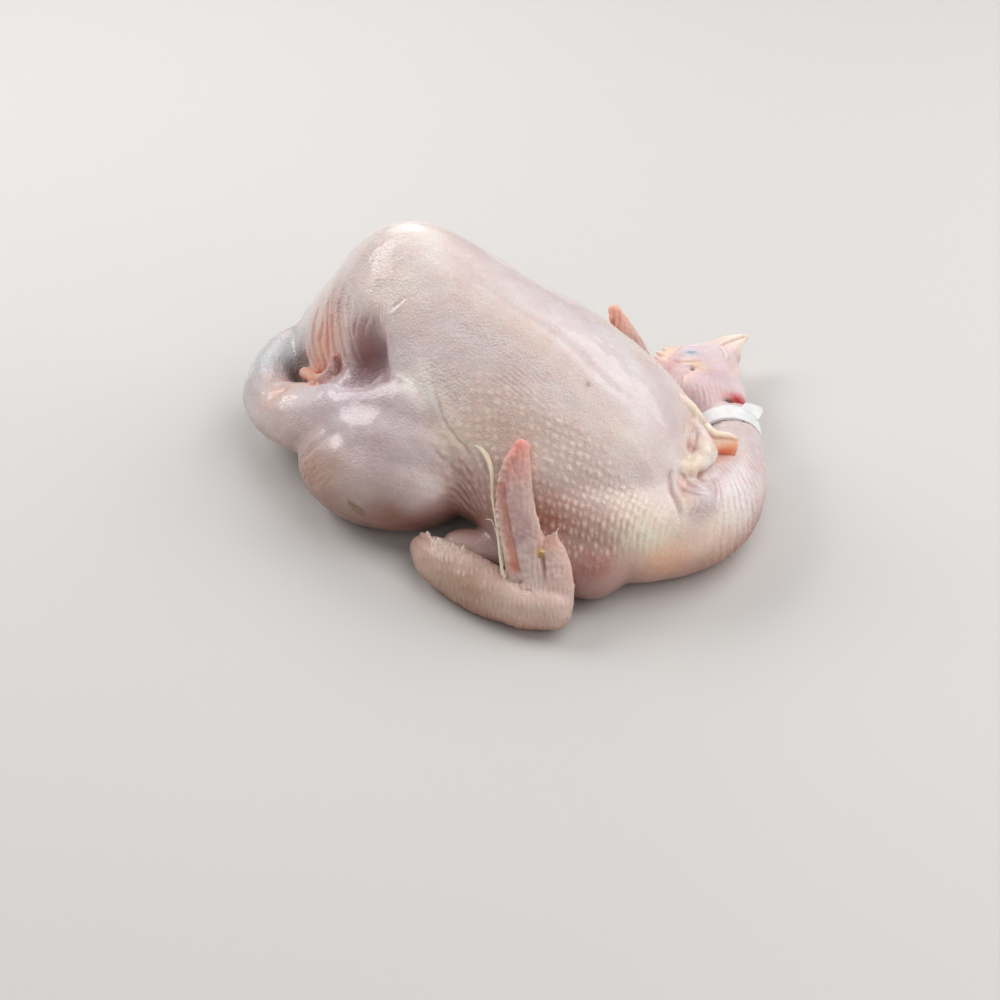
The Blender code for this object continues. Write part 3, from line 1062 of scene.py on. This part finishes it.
def painted(skin, base, patches, depth=1.7):
    """Linear colours of a skin: base, patches, painted shade that makes hollows and undersides darker and
    redder, mottling.
    """
    p = skin.points
    stray = np.column_stack([clouds(p, EDGE_LUMPS, seed=20 + k) for k in range(3)])
    shifted = p + EDGE_WANDER * stray
    colours = dabbed(np.tile(linear(base), (len(p), 1)), shifted, patches)
    hollow = skin.cavity(2) / skin.grain
    # painted shade in the hollows, darker and redder
    colours = blend(colours, np.clip(hollow * depth, 0, MOST_HOLLOW_SHADE), colours * HOLLOW_SHADE_TINT)
    paler = np.minimum(colours * RIDGE_GAIN + RIDGE_LIFT, PALEST)
    colours = blend(colours, np.clip(-RIDGE_DEPTH * hollow, 0, MOST_RIDGE), paler)
    # painted shade on the undersides, darker and warmer, with a painted warm reflection
    under = UNDERSIDE_SHADE_SHARE * smooth_step(0.3, -0.6, skin.normals[:, 2])
    colours = blend(colours, under, colours * UNDERSIDE_SHADE_TINT)
    blush = lumps(p, (0.09, 17, 31), (0.06, 6, 32), (0.05, 2.4, 33))
    return np.clip(colours * (1 + np.outer(blush, BLUSH_TINT)), 0, 1)


SPECK = (((64, -12, 88), 1.3, (110, 84, 60), 0.8),)  # a dark dot on the breast
# A brown scab on the thigh: its middle, half sizes, slope, and the width of its darker rim.
SCAB = (-12, -96, 26)
SCAB_SIZE = (4.6, 8, 2.4)
SCAB_SLOPE = np.array(((0.8, 0, 0.6), (0, 1, 0), (-0.6, 0, 0.8)))
SCAB_RIM = 0.2
SCAB_COLOUR = (150, 112, 74)
SCAB_RIM_COLOUR = (96, 62, 40)
BUMP_COLOUR = (246, 222, 204)


def body_colours(skin):
    p = skin.points
    # the painted shade in the hollows is stronger between the belly's pleats and weaker at the neck opening
    pleated = blob(p, (-80, -38, 72), (26, 14, 22))
    opening = blob(p, (118, 2, 50), (14, 24, 12))
    depth = 1.5 + 3 * pleated - 0.9 * opening
    colours = painted(skin, CREAM, BODY_PATCHES + OPENING_PATCHES, depth=depth)
    colours = blend(colours, 0.5 * follicle_area(p), colours * FOLLICLE_TINT)
    colours = blend(colours, 0.5 * np.clip(skin.bumps, 0, 1), linear(BUMP_COLOUR))
    oval = np.linalg.norm((p - SCAB) @ SCAB_SLOPE / SCAB_SIZE, axis=1)
    colours = blend(colours, 0.9 * smooth_step(1.1, 0.9, oval), linear(SCAB_COLOUR))
    colours = blend(colours, 0.7 * bell((oval - 0.95) / SCAB_RIM), linear(SCAB_RIM_COLOUR))
    return dabbed(colours, p, SPECK)


class Material:
    """A new material, and the nodes that feed its shader."""

    def __init__(self, name):
        self.data = bpy.data.materials.new(name)
        self.data.use_nodes = True
        self.tree = self.data.node_tree
        self.shader = self.tree.nodes["Principled BSDF"]

    def node(self, kind, sockets=(), **settings):
        """The outputs of a new node, with its settings made and its sockets fed."""
        made = self.tree.nodes.new("ShaderNode" + kind)
        for name, value in settings.items():
            setattr(made, name, value)
        self.feed(made, dict(sockets))
        return made.outputs

    def feed(self, node, sockets):
        """Gives each socket of a node a number, or links it to another node's output."""
        for name, value in sockets.items():
            if isinstance(value, bpy.types.NodeSocket):
                self.tree.links.new(value, node.inputs[name])
            else:
                node.inputs[name].default_value = value

    @cached_property
    def place(self):
        """Where a point lies, in the object's own space."""
        return self.node("TexCoord")["Object"]

    def noise(self, size, detail):
        """Noise in the object's own space, with lumps size millimetres across."""
        sockets = {"Vector": self.place, "Scale": 1 / (size * MM), "Detail": detail}
        return self.node("TexNoise", sockets)["Fac"]


def shade(name, rough, coat):
    """Skin: the painted tint with fine mottling, wet gloss, and grain too fine for the mesh."""
    raw = Material(name)
    tint = raw.node("Attribute", attribute_name="tint")["Color"]
    spread = {"From Min": 0.3, "From Max": 0.7, "To Min": 0.95, "To Max": 1.05}
    mottle = raw.node("MapRange", {"Value": raw.noise(1.6, 4), **spread})["Result"]
    mixed = raw.node("VectorMath", {0: tint, "Scale": mottle}, operation="SCALE")["Vector"]

    cells = {"Vector": raw.place, "Scale": 1 / (1.4 * MM), "Smoothness": 0.6}
    pores = raw.node("TexVoronoi", cells, feature="SMOOTH_F1")["Distance"]
    grain = {0: pores, 1: -0.5, 2: raw.noise(1.1, 2)}
    height = raw.node("Math", grain, operation="MULTIPLY_ADD")["Value"]
    wet = raw.node("Attribute", attribute_name="wet")["Fac"]
    bump = {"Strength": wet, "Distance": 1.7 * MM, "Height": height}
    raw.feed(
        raw.shader,
        {
            "Base Color": mixed,
            "Normal": raw.node("Bump", bump)["Normal"],
            "Roughness": rough,
            "Coat Weight": coat,
            "Coat Roughness": 0.12,
            "Subsurface Weight": 0.5,
            "Subsurface Radius": (1.0, 0.35, 0.25),
            "Subsurface Scale": 0.002,
        },
    )
    return raw.data


MOST_TRIANGLES = 190_000


def piece(name, skin, colours, material, wet):
    """A skin as an object, with its colours and wetness on its points."""
    skin.points[:, 2] = np.maximum(skin.points[:, 2], SPINE[2])  # it rests on the floor
    made = new_object(name, skin.points, skin.quads.tolist())
    tint = made.data.color_attributes.new("tint", "FLOAT_COLOR", "POINT")
    tint.data.foreach_set("color", np.column_stack((colours, np.ones(len(colours)))).ravel())
    made.data.attributes.new("wet", "FLOAT", "POINT").data.foreach_set(
        "value", np.broadcast_to(np.asarray(wet, np.float32), len(skin.points)).copy()
    )
    triangles = 2 * len(skin.quads)
    if triangles > MOST_TRIANGLES:
        thin = made.modifiers.new("fewer triangles", "DECIMATE")
        thin.ratio = MOST_TRIANGLES / triangles
        made.data = evaluated(made)
        made.modifiers.clear()
    made.data.shade_smooth()
    made.data.materials.clear()
    made.data.materials.append(material)
    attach(made, "root")
    return made


# ---------------------------------------------------------------- head

HEAD_GRAIN = 0.5
HEAD_FLESH_GRAIN = 0.9
HEAD_FOLDS = (
    # eyelids
    (((28, 120, 25), (27, 125, 25), (29, 129, 26), (34, 129, 27), (39, 127, 28)), 1.0, 0.5, 0.4),
    (((25, 118, 23), (31, 114.5, 25), (37, 115, 27), (41, 118, 28), (43, 123, 27)), 1.0, 0.45, 0.3),
    (((32, 119.5, 27), (35, 121, 27), (38, 123.5, 28)), 0.5, -0.7),
    # the rim of the ear, and folds behind the jaw
    (((36, 109, 25), (39, 111.5, 26), (43, 113.3, 27), (47, 114, 27)), 0.9, 0.7),
    (((39, 107.5, 25), (42, 107.5, 26), (46, 109.5, 27)), 0.8, 0.4),
    (((42, 106, 25), (45, 100, 24), (48, 95, 24)), 1.2, 0.7, 0.5),
    # the corner of the mouth
    (((38, 138, 24), (41, 139, 24), (46, 136, 23), (50, 131, 22)), 1.1, 0.6, 0.6),
    (((33, 131, 25), (37, 134, 25), (42, 134, 25)), 1.2, 0.35, 0.3),
)
HEAD_COLOUR = (228, 208, 208)
MOUTH_COLOUR = (150, 92, 52)
MOUTH_RADIUS = 0.9
MOUTH = ((40, 140, 24), (41, 146, 24.5), (42, 151, 24.5), (43, 156, 24), (44, 160.5, 23.5))
WOUND = ((79.2, 86.4, 30.4), (79.8, 90.3, 29.4), (80.9, 94.3, 27.8), (82.3, 98.3, 25.4))
EAR = (43, 110, 26)
EYE = (35, 121.5, 27)
# Place, radius and depth of dents, and of knobs where the depth is less than zero.
HEAD_DENTS = (
    (EYE, 6.5, -1.6),
    (EAR, 1.3, 1.6),
    # the wound's pits, and the bridge between them
    ((79.9, 90.4, 29.5), 2.4, 3.6),
    ((82, 97.5, 26.2), 2.4, 3.2),
    ((80.8, 93.8, 28), 1.4, -2.2),
    # warts under the jaw
    ((58, 133, 20), 1.6, -0.9),
    ((61, 129, 21), 1.6, -0.9),
    ((53, 138, 19), 1.6, -0.9),
)
HEAD_PATCHES = (
    ((57, 106, 26), (16, 16, 14), (216, 184, 192), 0.85),
    ((66, 92, 28), (14, 14, 12), (212, 182, 182), 0.85),
    ((28, 112, 22), (8, 8, 8), (232, 168, 172), 0.6),
    ((30, 128, 26), (9, 12, 8), (228, 212, 222), 0.6),
    ((45, 101, 24.5), (4, 9, 5), (248, 218, 206), 0.6),
    (EYE, (5, 4, 3), (186, 200, 212), 0.7),
    (EYE, (3.6, 1.2, 2), (120, 142, 160), 0.8),
    ((41.5, 112.5, 27), (7, 2.4, 3), (242, 212, 160), 0.8),
    ((46, 108.5, 27), (4, 2.2, 3), (240, 212, 170), 0.6),
    ((41, 156, 21), (14, 12, 12), (255, 242, 224), 1.0),
    ((39, 143, 22), (10, 5, 8), (244, 218, 208), 0.6),
    ((45, 163, 22), (4, 4, 4), (246, 214, 166), 0.7),
    ((17, 121, 19), (6, 12, 6), (246, 212, 186), 0.9),
    ((58, 131, 18), (8, 8, 8), (244, 212, 196), 0.6),
)
HEAD_STAINS = (
    ((80.4, 95.7, 27.4), (6, 8, 7), (196, 52, 50), 1.2),
    ((79.9, 90.4, 29.6), 3.2, (60, 2, 6), 1.6),
    ((81.9, 97.6, 26.6), 2.8, (168, 14, 14), 1.6),
    (EAR, 1.3, (92, 66, 44), 0.9),
)


def head_skin():
    """Head and the last of the neck as one skin, with a ragged comb."""
    lofts = [limb(stations) for stations in (HEAD_NECK, THROAT, SKULL)]
    flesh = melt(lofts + [limb(BEAK, step=1.5)], HEAD_FLESH_GRAIN, rounds=10)
    lofts = [flesh.shell(), limb(COMB, step=2)]
    for tip in np.array(COMB_TIPS, float):
        places = (tip + COMB_FINGER, tip + COMB_FINGER / 2, tip)
        lofts.append(limb([(*p, *size) for p, size in zip(places, FINGER_SIZES)], step=0.8))
    skin = melt(lofts, HEAD_GRAIN, rounds=4)
    relief = folds(skin, HEAD_FOLDS) + skin.dents(HEAD_DENTS)
    relief += skin.stroke(MOUTH, MOUTH_RADIUS, -1.6, taper=0.1)
    relief += skin.stroke(WOUND, 2.6, -2.2, taper=0.2)
    skin.push(relief)

    p = skin.points
    ribs = blob(p, (66, 92, 30), (13, 11, 12))
    relief = 0.13 * ribs * waves(p @ ACROSS_THE_VIEW + 0.6 * clouds(p, 9, seed=41), 2.5)
    gap, chance = dots(p @ (1, -0.4, 0), p @ (0.4, 1, 0), 1.9, 1.7, 0.3, seed=42)
    cheek = blob(p, (55, 108, 27), (17, 17, 14))
    relief += 0.16 * cheek * bell(gap / 0.6) * chance
    skin.push(relief + lumps(p, (0.3, 8, 43), (0.1, 3, 44)))
    return skin


def head_colours(skin):
    colours = dabbed(painted(skin, HEAD_COLOUR, HEAD_PATCHES), skin.points, HEAD_STAINS)
    mouth = skin.stroke(MOUTH, MOUTH_RADIUS, taper=0.1)
    return blend(colours, 0.85 * mouth, linear(MOUTH_COLOUR))


# ---------------------------------------------------------------- wings

WING_GRAIN = 0.6
WING_FLESH_GRAIN = 0.9
WING_COLOUR = (216, 190, 180)
SPOT_COLOUR = (168, 130, 140)
TEETH_COLOUR = (236, 222, 212)
# Edges where the skin is torn to bits, and the grooves and folds of the hand.
FOREARM_TEETH = (
    (20, -84, 18),
    (26, -87, 21.5),
    (32, -89, 24),
    (37, -89, 24),
    (43, -88.5, 24),
    (50, -87, 24),
)
HAND_EDGE = (
    (57.6, -60, 73),
    (57, -62.5, 70.5),
    (56.5, -65, 67.5),
    (56.5, -67.5, 64.5),
    (58.5, -70.5, 61),
)
HAND_GROOVE = (
    (57.5, -69, 62),
    (60, -72, 59),
    (63.5, -76, 54),
    (68, -79, 47),
    (73, -82, 39),
    (78, -85, 32),
    (82, -87, 27),
)
# A strip of skin beyond the groove, down to the wrist.
HAND_STRIP = (
    (56.5, -69, 60.5, 1.2, 0.9),
    (60.3, -74, 53.6, 1.3, 0.9),
    (65.9, -79, 44.6, 1.5, 1.0),
    (71.5, -83, 36.4, 1.7, 1.1),
    (76.6, -86, 29, 1.9, 1.2),
    (80, -87, 24, 1.8, 1.2),
)
HAND_STRIP_EDGE = ((58, -72, 57), (62, -77, 50), (67, -81, 42), (72, -85, 34))
# The groove's right side, where the flat of the hand hangs over it.
HAND_FLAP = tuple((x + 1.6, y + 1.1, z - 0.2) for x, y, z in HAND_GROOVE)
THUMB_GROOVE = ((83.5, -71.5, 38.5), (86, -75, 36), (89, -77, 33), (92, -80, 29), (94, -82, 25))
WRIST_TEAR = (
    (77, -88, 28),
    (80, -89, 24),
    (83, -88, 25),
    (86, -89, 22.5),
    (90, -87, 23.5),
    (93, -88, 21),
    (97, -86, 20),
)
HAND_SLOT = ((70, -83.5, 37), (71.5, -84.5, 33.5), (73, -86, 30))
WRIST_NICK = (84, -87.5, 25)
LEFT_WING_DENTS = ((WRIST_NICK, 0.9, 1.2),)
# The torn edges: where the bits stand, how tall and thick they are, how many, and their seed.
TORN_EDGES = (
    (FOREARM_TEETH, 2.4, 1.8, 14, 51),
    (HAND_EDGE, 1.4, 1.8, 5, 52),
    (HAND_STRIP_EDGE, 1.2, 1.2, 8, 54),
    (((84, -70, 38), (87, -68, 40.5), (90, -67.5, 41)), 2.6, 1.5, 5, 53),
    (((101, -72, 24), (102, -74, 18), (103, -75, 14)), 0.6, 1.4, 4, 55),
)
# A spike of skin at the thumb's tip, and the thumb's claw at its root.
THUMB_SPIKE = ((86.8, -67, 39, 1.2, 1.0), (87.6, -65.4, 42, 0.8, 0.7), (88.2, -64.4, 45, 0.4, 0.4))
THUMB_CLAW = ((85, -75.5, 35, 1.2, 1.2), (86.5, -74.8, 36.8, 1.5, 1.2))
LEFT_WING_FOLDS = (
    (HAND_GROOVE, 1.9, -1.4),
    (HAND_FLAP, 0.7, -1.0),
    (THUMB_GROOVE, 1.0, -1.7),
    (WRIST_TEAR, 0.8, -0.9, 0.5),
    (((58, -60, 73), (61, -64, 68), (64, -66, 64)), 0.7, -0.6),
    (((61, -57, 74), (65, -62, 66), (68, -67, 60), (71, -71, 54)), 1.3, 0.4),
    (HAND_SLOT, 1.0, -2.0),
    (((96, -72, 32), (99, -73, 25), (101, -75, 19)), 1.0, -0.5),
)
LEFT_WING_PATCHES = (
    ((59, -56, 76), (9, 9, 11), (236, 152, 136), 1.0),
    ((61, -62, 66), (8, 8, 9), (228, 168, 158), 0.8),
    ((72, -73, 48), (12, 10, 16), (196, 158, 154), 0.9),
    ((84, -76, 30), (10, 10, 10), (212, 188, 184), 0.9),
    ((80, -64, 46), (6, 5, 16), (240, 220, 202), 0.7),
    ((98, -71, 30), (8, 8, 14), (238, 196, 184), 0.8),
    ((88, -68, 40), (6, 5, 4), (240, 184, 164), 0.8),
    ((30, -90, 14), (18, 14, 14), (200, 158, 138), 0.8),
    # painted shade on the forearm's near side
    ((60, -96, 14), (28, 12, 14), (176, 140, 114), 0.9),
    ((92, -92, 12), (20, 14, 12), (226, 196, 182), 0.9),
    # painted shade under the forearm
    ((60, -90, 2), (60, 20, 7), (170, 116, 90), 0.6),
)
# Lines of colour, two of them painted shade: places, radius, how far the ends fade, colour, strength.
LEFT_WING_LINES = (
    (HAND_GROOVE, 2.1, 0.08, (222, 138, 112), 0.8),
    # a painted shadow where the flat of the hand hangs over the groove
    (HAND_FLAP, 0.8, 0.08, (168, 88, 66), 0.7),
    # painted shade in the slot
    (HAND_SLOT, 1.1, 0.4, (84, 44, 34), 0.95),
    (THUMB_GROOVE, 0.9, 0.4, (136, 96, 100), 0.6),
)
LEFT_WING_STAINS = (
    ((86, -75, 36), 2.0, (228, 190, 96), 0.9),
    ((86.5, -76, 34.5), 0.9, (150, 110, 60), 0.8),
    (WRIST_NICK, 1.0, (92, 48, 36), 0.9),
    ((78, -86, 31), 2.4, (190, 96, 80), 0.7),
)
RIGHT_WING_PATCHES = (
    ((14, 77, 68), (12, 10, 20), (246, 186, 168), 1.0),
    ((0, 88, 14), (40, 16, 16), (214, 180, 162), 0.7),
)


def bits(skin, places, tall, wide, count, seed):
    """Small torn points of skin along the places, which stand up the view."""
    curve = skin.laid(places, 0.5)
    made = []
    for k in range(count):
        chance = float(hashed(np.array([k]), seed=seed)[0])
        root = curve[round((k + 0.5 * chance) / count * (len(curve) - 1))]
        tip = root + UP_THE_VIEW * tall * (0.5 + chance) + (0.5 * chance, 0, 0)
        inner = root - UP_THE_VIEW * wide
        made.append(limb(((*inner, wide, 0.8 * wide), (*tip, 0.25 * wide, 0.25 * wide)), step=0.6))
    return made


def wing_flesh(forearm, *flats):
    """A wing's forearm with its flat hand, and thumb if it shows."""
    lofts = [limb(forearm)] + [limb(flat, HAND_FACES) for flat in flats]
    return melt(lofts, WING_FLESH_GRAIN, rounds=8)


def wing_grain(skin, forearm):
    """Rows of long follicles round the forearm, fine wrinkles on the hand."""
    p = skin.points
    _, _, radii = round_limb(p, forearm)
    arm = smooth_step(3.2, 1.6, radii) * smooth_step(30, 24, p[:, 2])
    aside = p @ ACROSS_THE_VIEW + 0.8 * clouds(p, 8, seed=61)
    gap, chance = dots(aside / 2.2, p @ UP_THE_VIEW / 6.5, 1, 1, 0.22, seed=62)
    relief = 0.42 * arm * bell(gap / 0.33) * (0.3 + 0.9 * chance)
    hand = 1 - arm
    relief += 0.35 * hand * waves(aside, 2.9) * clouds(p, 9, seed=63)
    relief += 0.25 * hand * clouds(p, 1.8, seed=67)
    skin.push(relief + lumps(p, (0.45, 13, 64), (0.22, 5, 65), (0.1, 2.4, 66)))


def left_wing_skin():
    flesh = wing_flesh(LEFT_FOREARM, LEFT_HAND, LEFT_THUMB)
    lofts = [flesh.shell(), limb(HAND_STRIP, HAND_FACES, step=1.0)]
    for torn in TORN_EDGES:
        lofts += bits(flesh, *torn)
    lofts += [limb(part, step=0.6) for part in (THUMB_SPIKE, THUMB_CLAW)]
    skin = melt(lofts, WING_GRAIN, rounds=3)
    skin.push(folds(skin, LEFT_WING_FOLDS) + skin.dents(LEFT_WING_DENTS))
    wing_grain(skin, LEFT_FOREARM)
    return skin


def left_wing_colours(skin):
    colours = painted(skin, WING_COLOUR, LEFT_WING_PATCHES)
    p = skin.points
    for places, radius, taper, colour, strength in LEFT_WING_LINES:
        line = skin.stroke(places, radius, taper=taper)
        colours = blend(colours, strength * line, linear(colour))
    colours = dabbed(colours, p, LEFT_WING_STAINS)
    spots = smooth_step(0.3, 0.75, clouds(p, 4.5, seed=71)) * blob(p, (72, -72, 50), (16, 14, 22))
    colours = blend(colours, 0.45 * spots, linear(SPOT_COLOUR))
    teeth = smooth_step(1.2, 2.4, p[:, 2] - 22) * blob(p, (34, -88, 25), (20, 6, 3))
    return blend(colours, 0.4 * teeth, linear(TEETH_COLOUR))


RIGHT_HAND_SLIT = ((13, 73.5, 66), (16, 74, 60), (20, 74.5, 53), (25, 75, 44))


def right_wing_skin():
    flesh = wing_flesh(RIGHT_FOREARM, RIGHT_HAND)
    skin = melt([flesh.shell()], WING_GRAIN, rounds=3)
    skin.push(skin.stroke(RIGHT_HAND_SLIT, 1.4, -1.6))
    wing_grain(skin, RIGHT_FOREARM)
    return skin


# A tendon that was pulled out hangs from the flank over the hand to the forearm.
TENDON = (
    (26, -57, 66, 0.7, 0.5),
    (29.2, -59.4, 63.5, 1.1, 0.8),
    (32.9, -58.6, 64.6, 1.3, 0.8),
    (37, -59, 64.4, 1.5, 0.9),
    (41.8, -60.4, 62.4, 1.4, 0.9),
    (46.5, -63.1, 59.6, 1.1, 0.8),
    (50.2, -66.8, 56.5, 0.8, 0.7),
    (55.4, -72.4, 50.4, 0.75, 0.6),
    (60.2, -76.4, 46.3, 0.8, 0.6),
    (64.7, -80.3, 42, 0.75, 0.6),
    (68, -83.2, 36.5, 0.7, 0.6),
    (71.3, -86.1, 31, 0.7, 0.6),
    (75, -88.8, 25.5, 0.8, 0.6),
)
FIBRES = (
    (
        (51, -72.5, 37, 0.25, 0.25),
        (56, -74, 39.3, 0.3, 0.3),
        (60.6, -76.5, 36.5, 0.35, 0.3),
        (66.8, -81, 32, 0.35, 0.3),
        (73, -86.5, 25.5, 0.4, 0.3),
    ),
    (
        (60, -76.5, 45, 0.4, 0.3),
        (64, -79, 41, 0.5, 0.3),
        (68.5, -82, 35, 0.5, 0.3),
        (73, -86, 28.5, 0.4, 0.3),
    ),
)
TENDON_COLOUR = (238, 222, 198)
TENDON_GRAIN = 0.22


def tendon_skin():
    """The tendon and two threads beside it."""
    return melt([limb(thread, step=1.0) for thread in (TENDON, *FIBRES)], TENDON_GRAIN, rounds=2)


LIP_GRAIN = 0.4
LIP_COLOUR = (255, 236, 212)
LIP_PATCHES = (
    ((111, 39, 43.5), (14, 14, 4.6), (244, 150, 96), 1.0),
    ((109, 36, 41), (14, 14, 3), (226, 116, 80), 0.9),
)


def lip_skin():
    """The edge of the breast's skin, turned out at the opening."""
    lofts = [limb(LIP_END, step=1.2), limb(SHEET, UP_THE_VIEW, step=1.2)]
    skin = melt(lofts, LIP_GRAIN, rounds=5)
    skin.push(lumps(skin.points, (0.35, 6, 84), (0.1, 2.5, 85)))
    return skin


# ---------------------------------------------------------------- the band


def band_strip():
    """Vertices and faces of the strip, wound round the neck."""
    # the winding, which drifts along the neck towards its end
    along = unit(BAND_AXIS)
    across = np.cross(along, (0, 0, 1))
    share = np.linspace(0, 1, BAND_STEPS + 1)[:, None]
    turn = np.radians(BAND_START + BAND_TURN * share)
    out = across * np.cos(turn) * BAND_HALF_WIDE + (0, 0, 1) * np.sin(turn) * BAND_HALF_HIGH
    slip = BAND_SLIP * smooth_step(BAND_SLIP_FROM, 1, share)
    middles = BAND_CENTER + out * (1 + BAND_CREEP * (1 - share)) + along * slip

    # the rounded end, which goes straight on, stands off and turns in its own plane
    onward = unit(unit(middles[-1] - middles[-2]) + TAB_LIFT * unit(out[-1]))
    quarter = np.linspace(0, math.pi / 2, TAB_STEPS + 1)
    twist = math.radians(TAB_TWIST) * np.sin(quarter[1:, None])
    tab_ways = onward * np.cos(twist) - along * np.sin(twist)
    steps = TAB_LENGTH * np.diff(np.sin(quarter))[:, None]
    middles = np.vstack((middles, middles[-1] + np.cumsum(tab_ways * steps, axis=0)))
    tab_axes = along * np.cos(twist) + onward * np.sin(twist)
    axes = np.vstack((np.tile(along, (len(share), 1)), tab_axes))

    # half the strip's width, which its round corners bring down to about a half at the very end
    remaining = np.linalg.norm(middles[-1] - middles, axis=1)
    corner = np.clip(1 - remaining / TAB_CORNER, 0, 1)
    corner[: len(share)] = 0
    halves = BAND_WIDTH / 2 * (1 - 0.5 * (1 - np.sqrt(1 - 0.98 * corner**2)))
    halves[len(share) :] *= 1 + TAB_SPREAD * np.sin(quarter[1:])

    outward = unit(np.cross(np.gradient(middles, axis=0), axes))
    places = np.linspace(-1, 1, ACROSS_STEPS + 1)
    thin = BAND_THICK / 2
    section = [(p, thin) for p in places] + [(p, -thin) for p in places[::-1]]
    rings = [
        middle + np.array([axis * p * half + face * t for p, t in section])
        for middle, axis, face, half in zip(middles, axes, outward, halves)
    ]
    return loft(rings)


def plastic():
    """Thin white film: faintly uneven in tone and gloss, and soft to the light."""
    film = Material("white plastic")
    noise = film.noise(4, 3)
    tone = film.tree.nodes.new("ShaderNodeValToRGB")
    tones = ((0.3, (236, 235, 234)), (0.7, (246, 246, 246)))
    for element, (position, colour) in zip(tone.color_ramp.elements, tones):
        element.position = position
        element.color = (*linear(colour), 1)
    film.feed(tone, {"Fac": noise})
    gloss = film.node("MapRange", {"Value": noise, "To Min": 0.25, "To Max": 0.45})["Result"]
    bump = film.node("Bump", {"Strength": 0.1, "Distance": 0.2 * MM, "Height": noise})["Normal"]
    film.feed(
        film.shader,
        {
            "Base Color": tone.outputs["Color"],
            "Roughness": gloss,
            "Normal": bump,
            "Subsurface Weight": 0.3,
            "Subsurface Radius": (1, 1, 1),
            "Subsurface Scale": 0.001,
        },
    )
    return film.data


wet_skin = shade("wet skin", rough=0.4, coat=0.5)
dry_skin = shade("dry skin", rough=0.45, coat=0.2)
DRY_GRAIN = 0.16  # how much of the fine grain dry skin has

body = sculpt_body(body_skin())
whole = piece("bird_body", body, body_colours(body), wet_skin, wetness(body.points))
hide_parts("chicken")
head = head_skin()
left = left_wing_skin()
right = right_wing_skin()
tendon = tendon_skin()
lip = lip_skin()
for name, skin, colours in (
    ("bird_head", head, head_colours(head)),
    ("left_wing", left, left_wing_colours(left)),
    ("right_wing", right, painted(right, WING_COLOUR, RIGHT_WING_PATCHES)),
    ("wing_tendon", tendon, painted(tendon, TENDON_COLOUR, ())),
    ("neck_lip", lip, painted(lip, LIP_COLOUR, LIP_PATCHES)),
):
    made = piece(name, skin, colours, dry_skin, wet=DRY_GRAIN)
    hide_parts("chicken")

band = new_object("neck_band", *band_strip())
band.data.shade_smooth()
band.data.materials.append(plastic())
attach(band, "root")
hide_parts("neck_tag")

# ---------------------------------------------------------------- the room

CAMERA_PLACE = (531.1, -644.3, 611)
CAMERA_TURN = 39.5  # degrees to the left from looking along the y axis
CAMERA_DOWN = 37  # degrees under the horizon
LENS = 71.46
# Square lamps that look at the bird's middle: place and size in metres, and watts.
AIM = Vector((0, 0, 0.04))
LAMPS = {
    "overhead": ((0.3, 0.3, 1.35), 1.2, 7.4),
    "back": ((0.2, 1.1, 0.9), 0.8, 5.3),
    "right back": ((0.9, 0.7, 0.8), 0.7, 4.0),
    "left": ((-1.0, -0.3, 0.8), 0.7, 9.0),
    "left back": ((-0.9, 0.7, 0.7), 0.7, 3.4),
    "right front": ((1.1, -0.3, 0.9), 0.8, 3.4),
    "front": ((0.45, -1.0, 0.75), 0.7, 1.8),
}
WORLD_LIGHT = 0.06


def camera():
    """Looks at the bird from its left front, well above it."""
    data = bpy.data.cameras.new("camera")
    data.lens = LENS
    data.sensor_width = 36
    data.clip_start = 0.01
    made = placed("camera", data, (CAMERA_PLACE - SPINE) * MM)
    turn = Matrix.Rotation(math.radians(CAMERA_TURN), 4, "Z")
    tilt = Matrix.Rotation(math.radians(90 - CAMERA_DOWN), 4, "X")
    made.rotation_euler = (turn @ tilt).to_euler()
    bpy.context.scene.camera = made


def floor():
    bpy.ops.mesh.primitive_plane_add(size=8)
    made = bpy.context.object
    made.name = "floor"
    pale = Material("pale floor")
    pale.feed(pale.shader, {"Base Color": (0.66, 0.64, 0.62, 1), "Roughness": 0.6})
    made.data.materials.append(pale.data)


def lamp(name, place, size, watts):
    data = bpy.data.lights.new(name, "AREA")
    data.shape = "SQUARE"
    data.size = size
    data.energy = watts
    made = placed(name, data, place)
    made.rotation_euler = (AIM - made.location).to_track_quat("-Z", "Y").to_euler()


def world():
    """Faint white light from everywhere."""
    made = bpy.data.worlds.new("room")
    made.use_nodes = True
    background = made.node_tree.nodes["Background"]
    background.inputs["Color"].default_value = (1, 1, 1, 1)
    background.inputs["Strength"].default_value = WORLD_LIGHT
    bpy.context.scene.world = made


camera()
floor()
for name, settings in LAMPS.items():
    lamp(name, *settings)
world()
bpy.context.scene.view_settings.view_transform = "Standard"
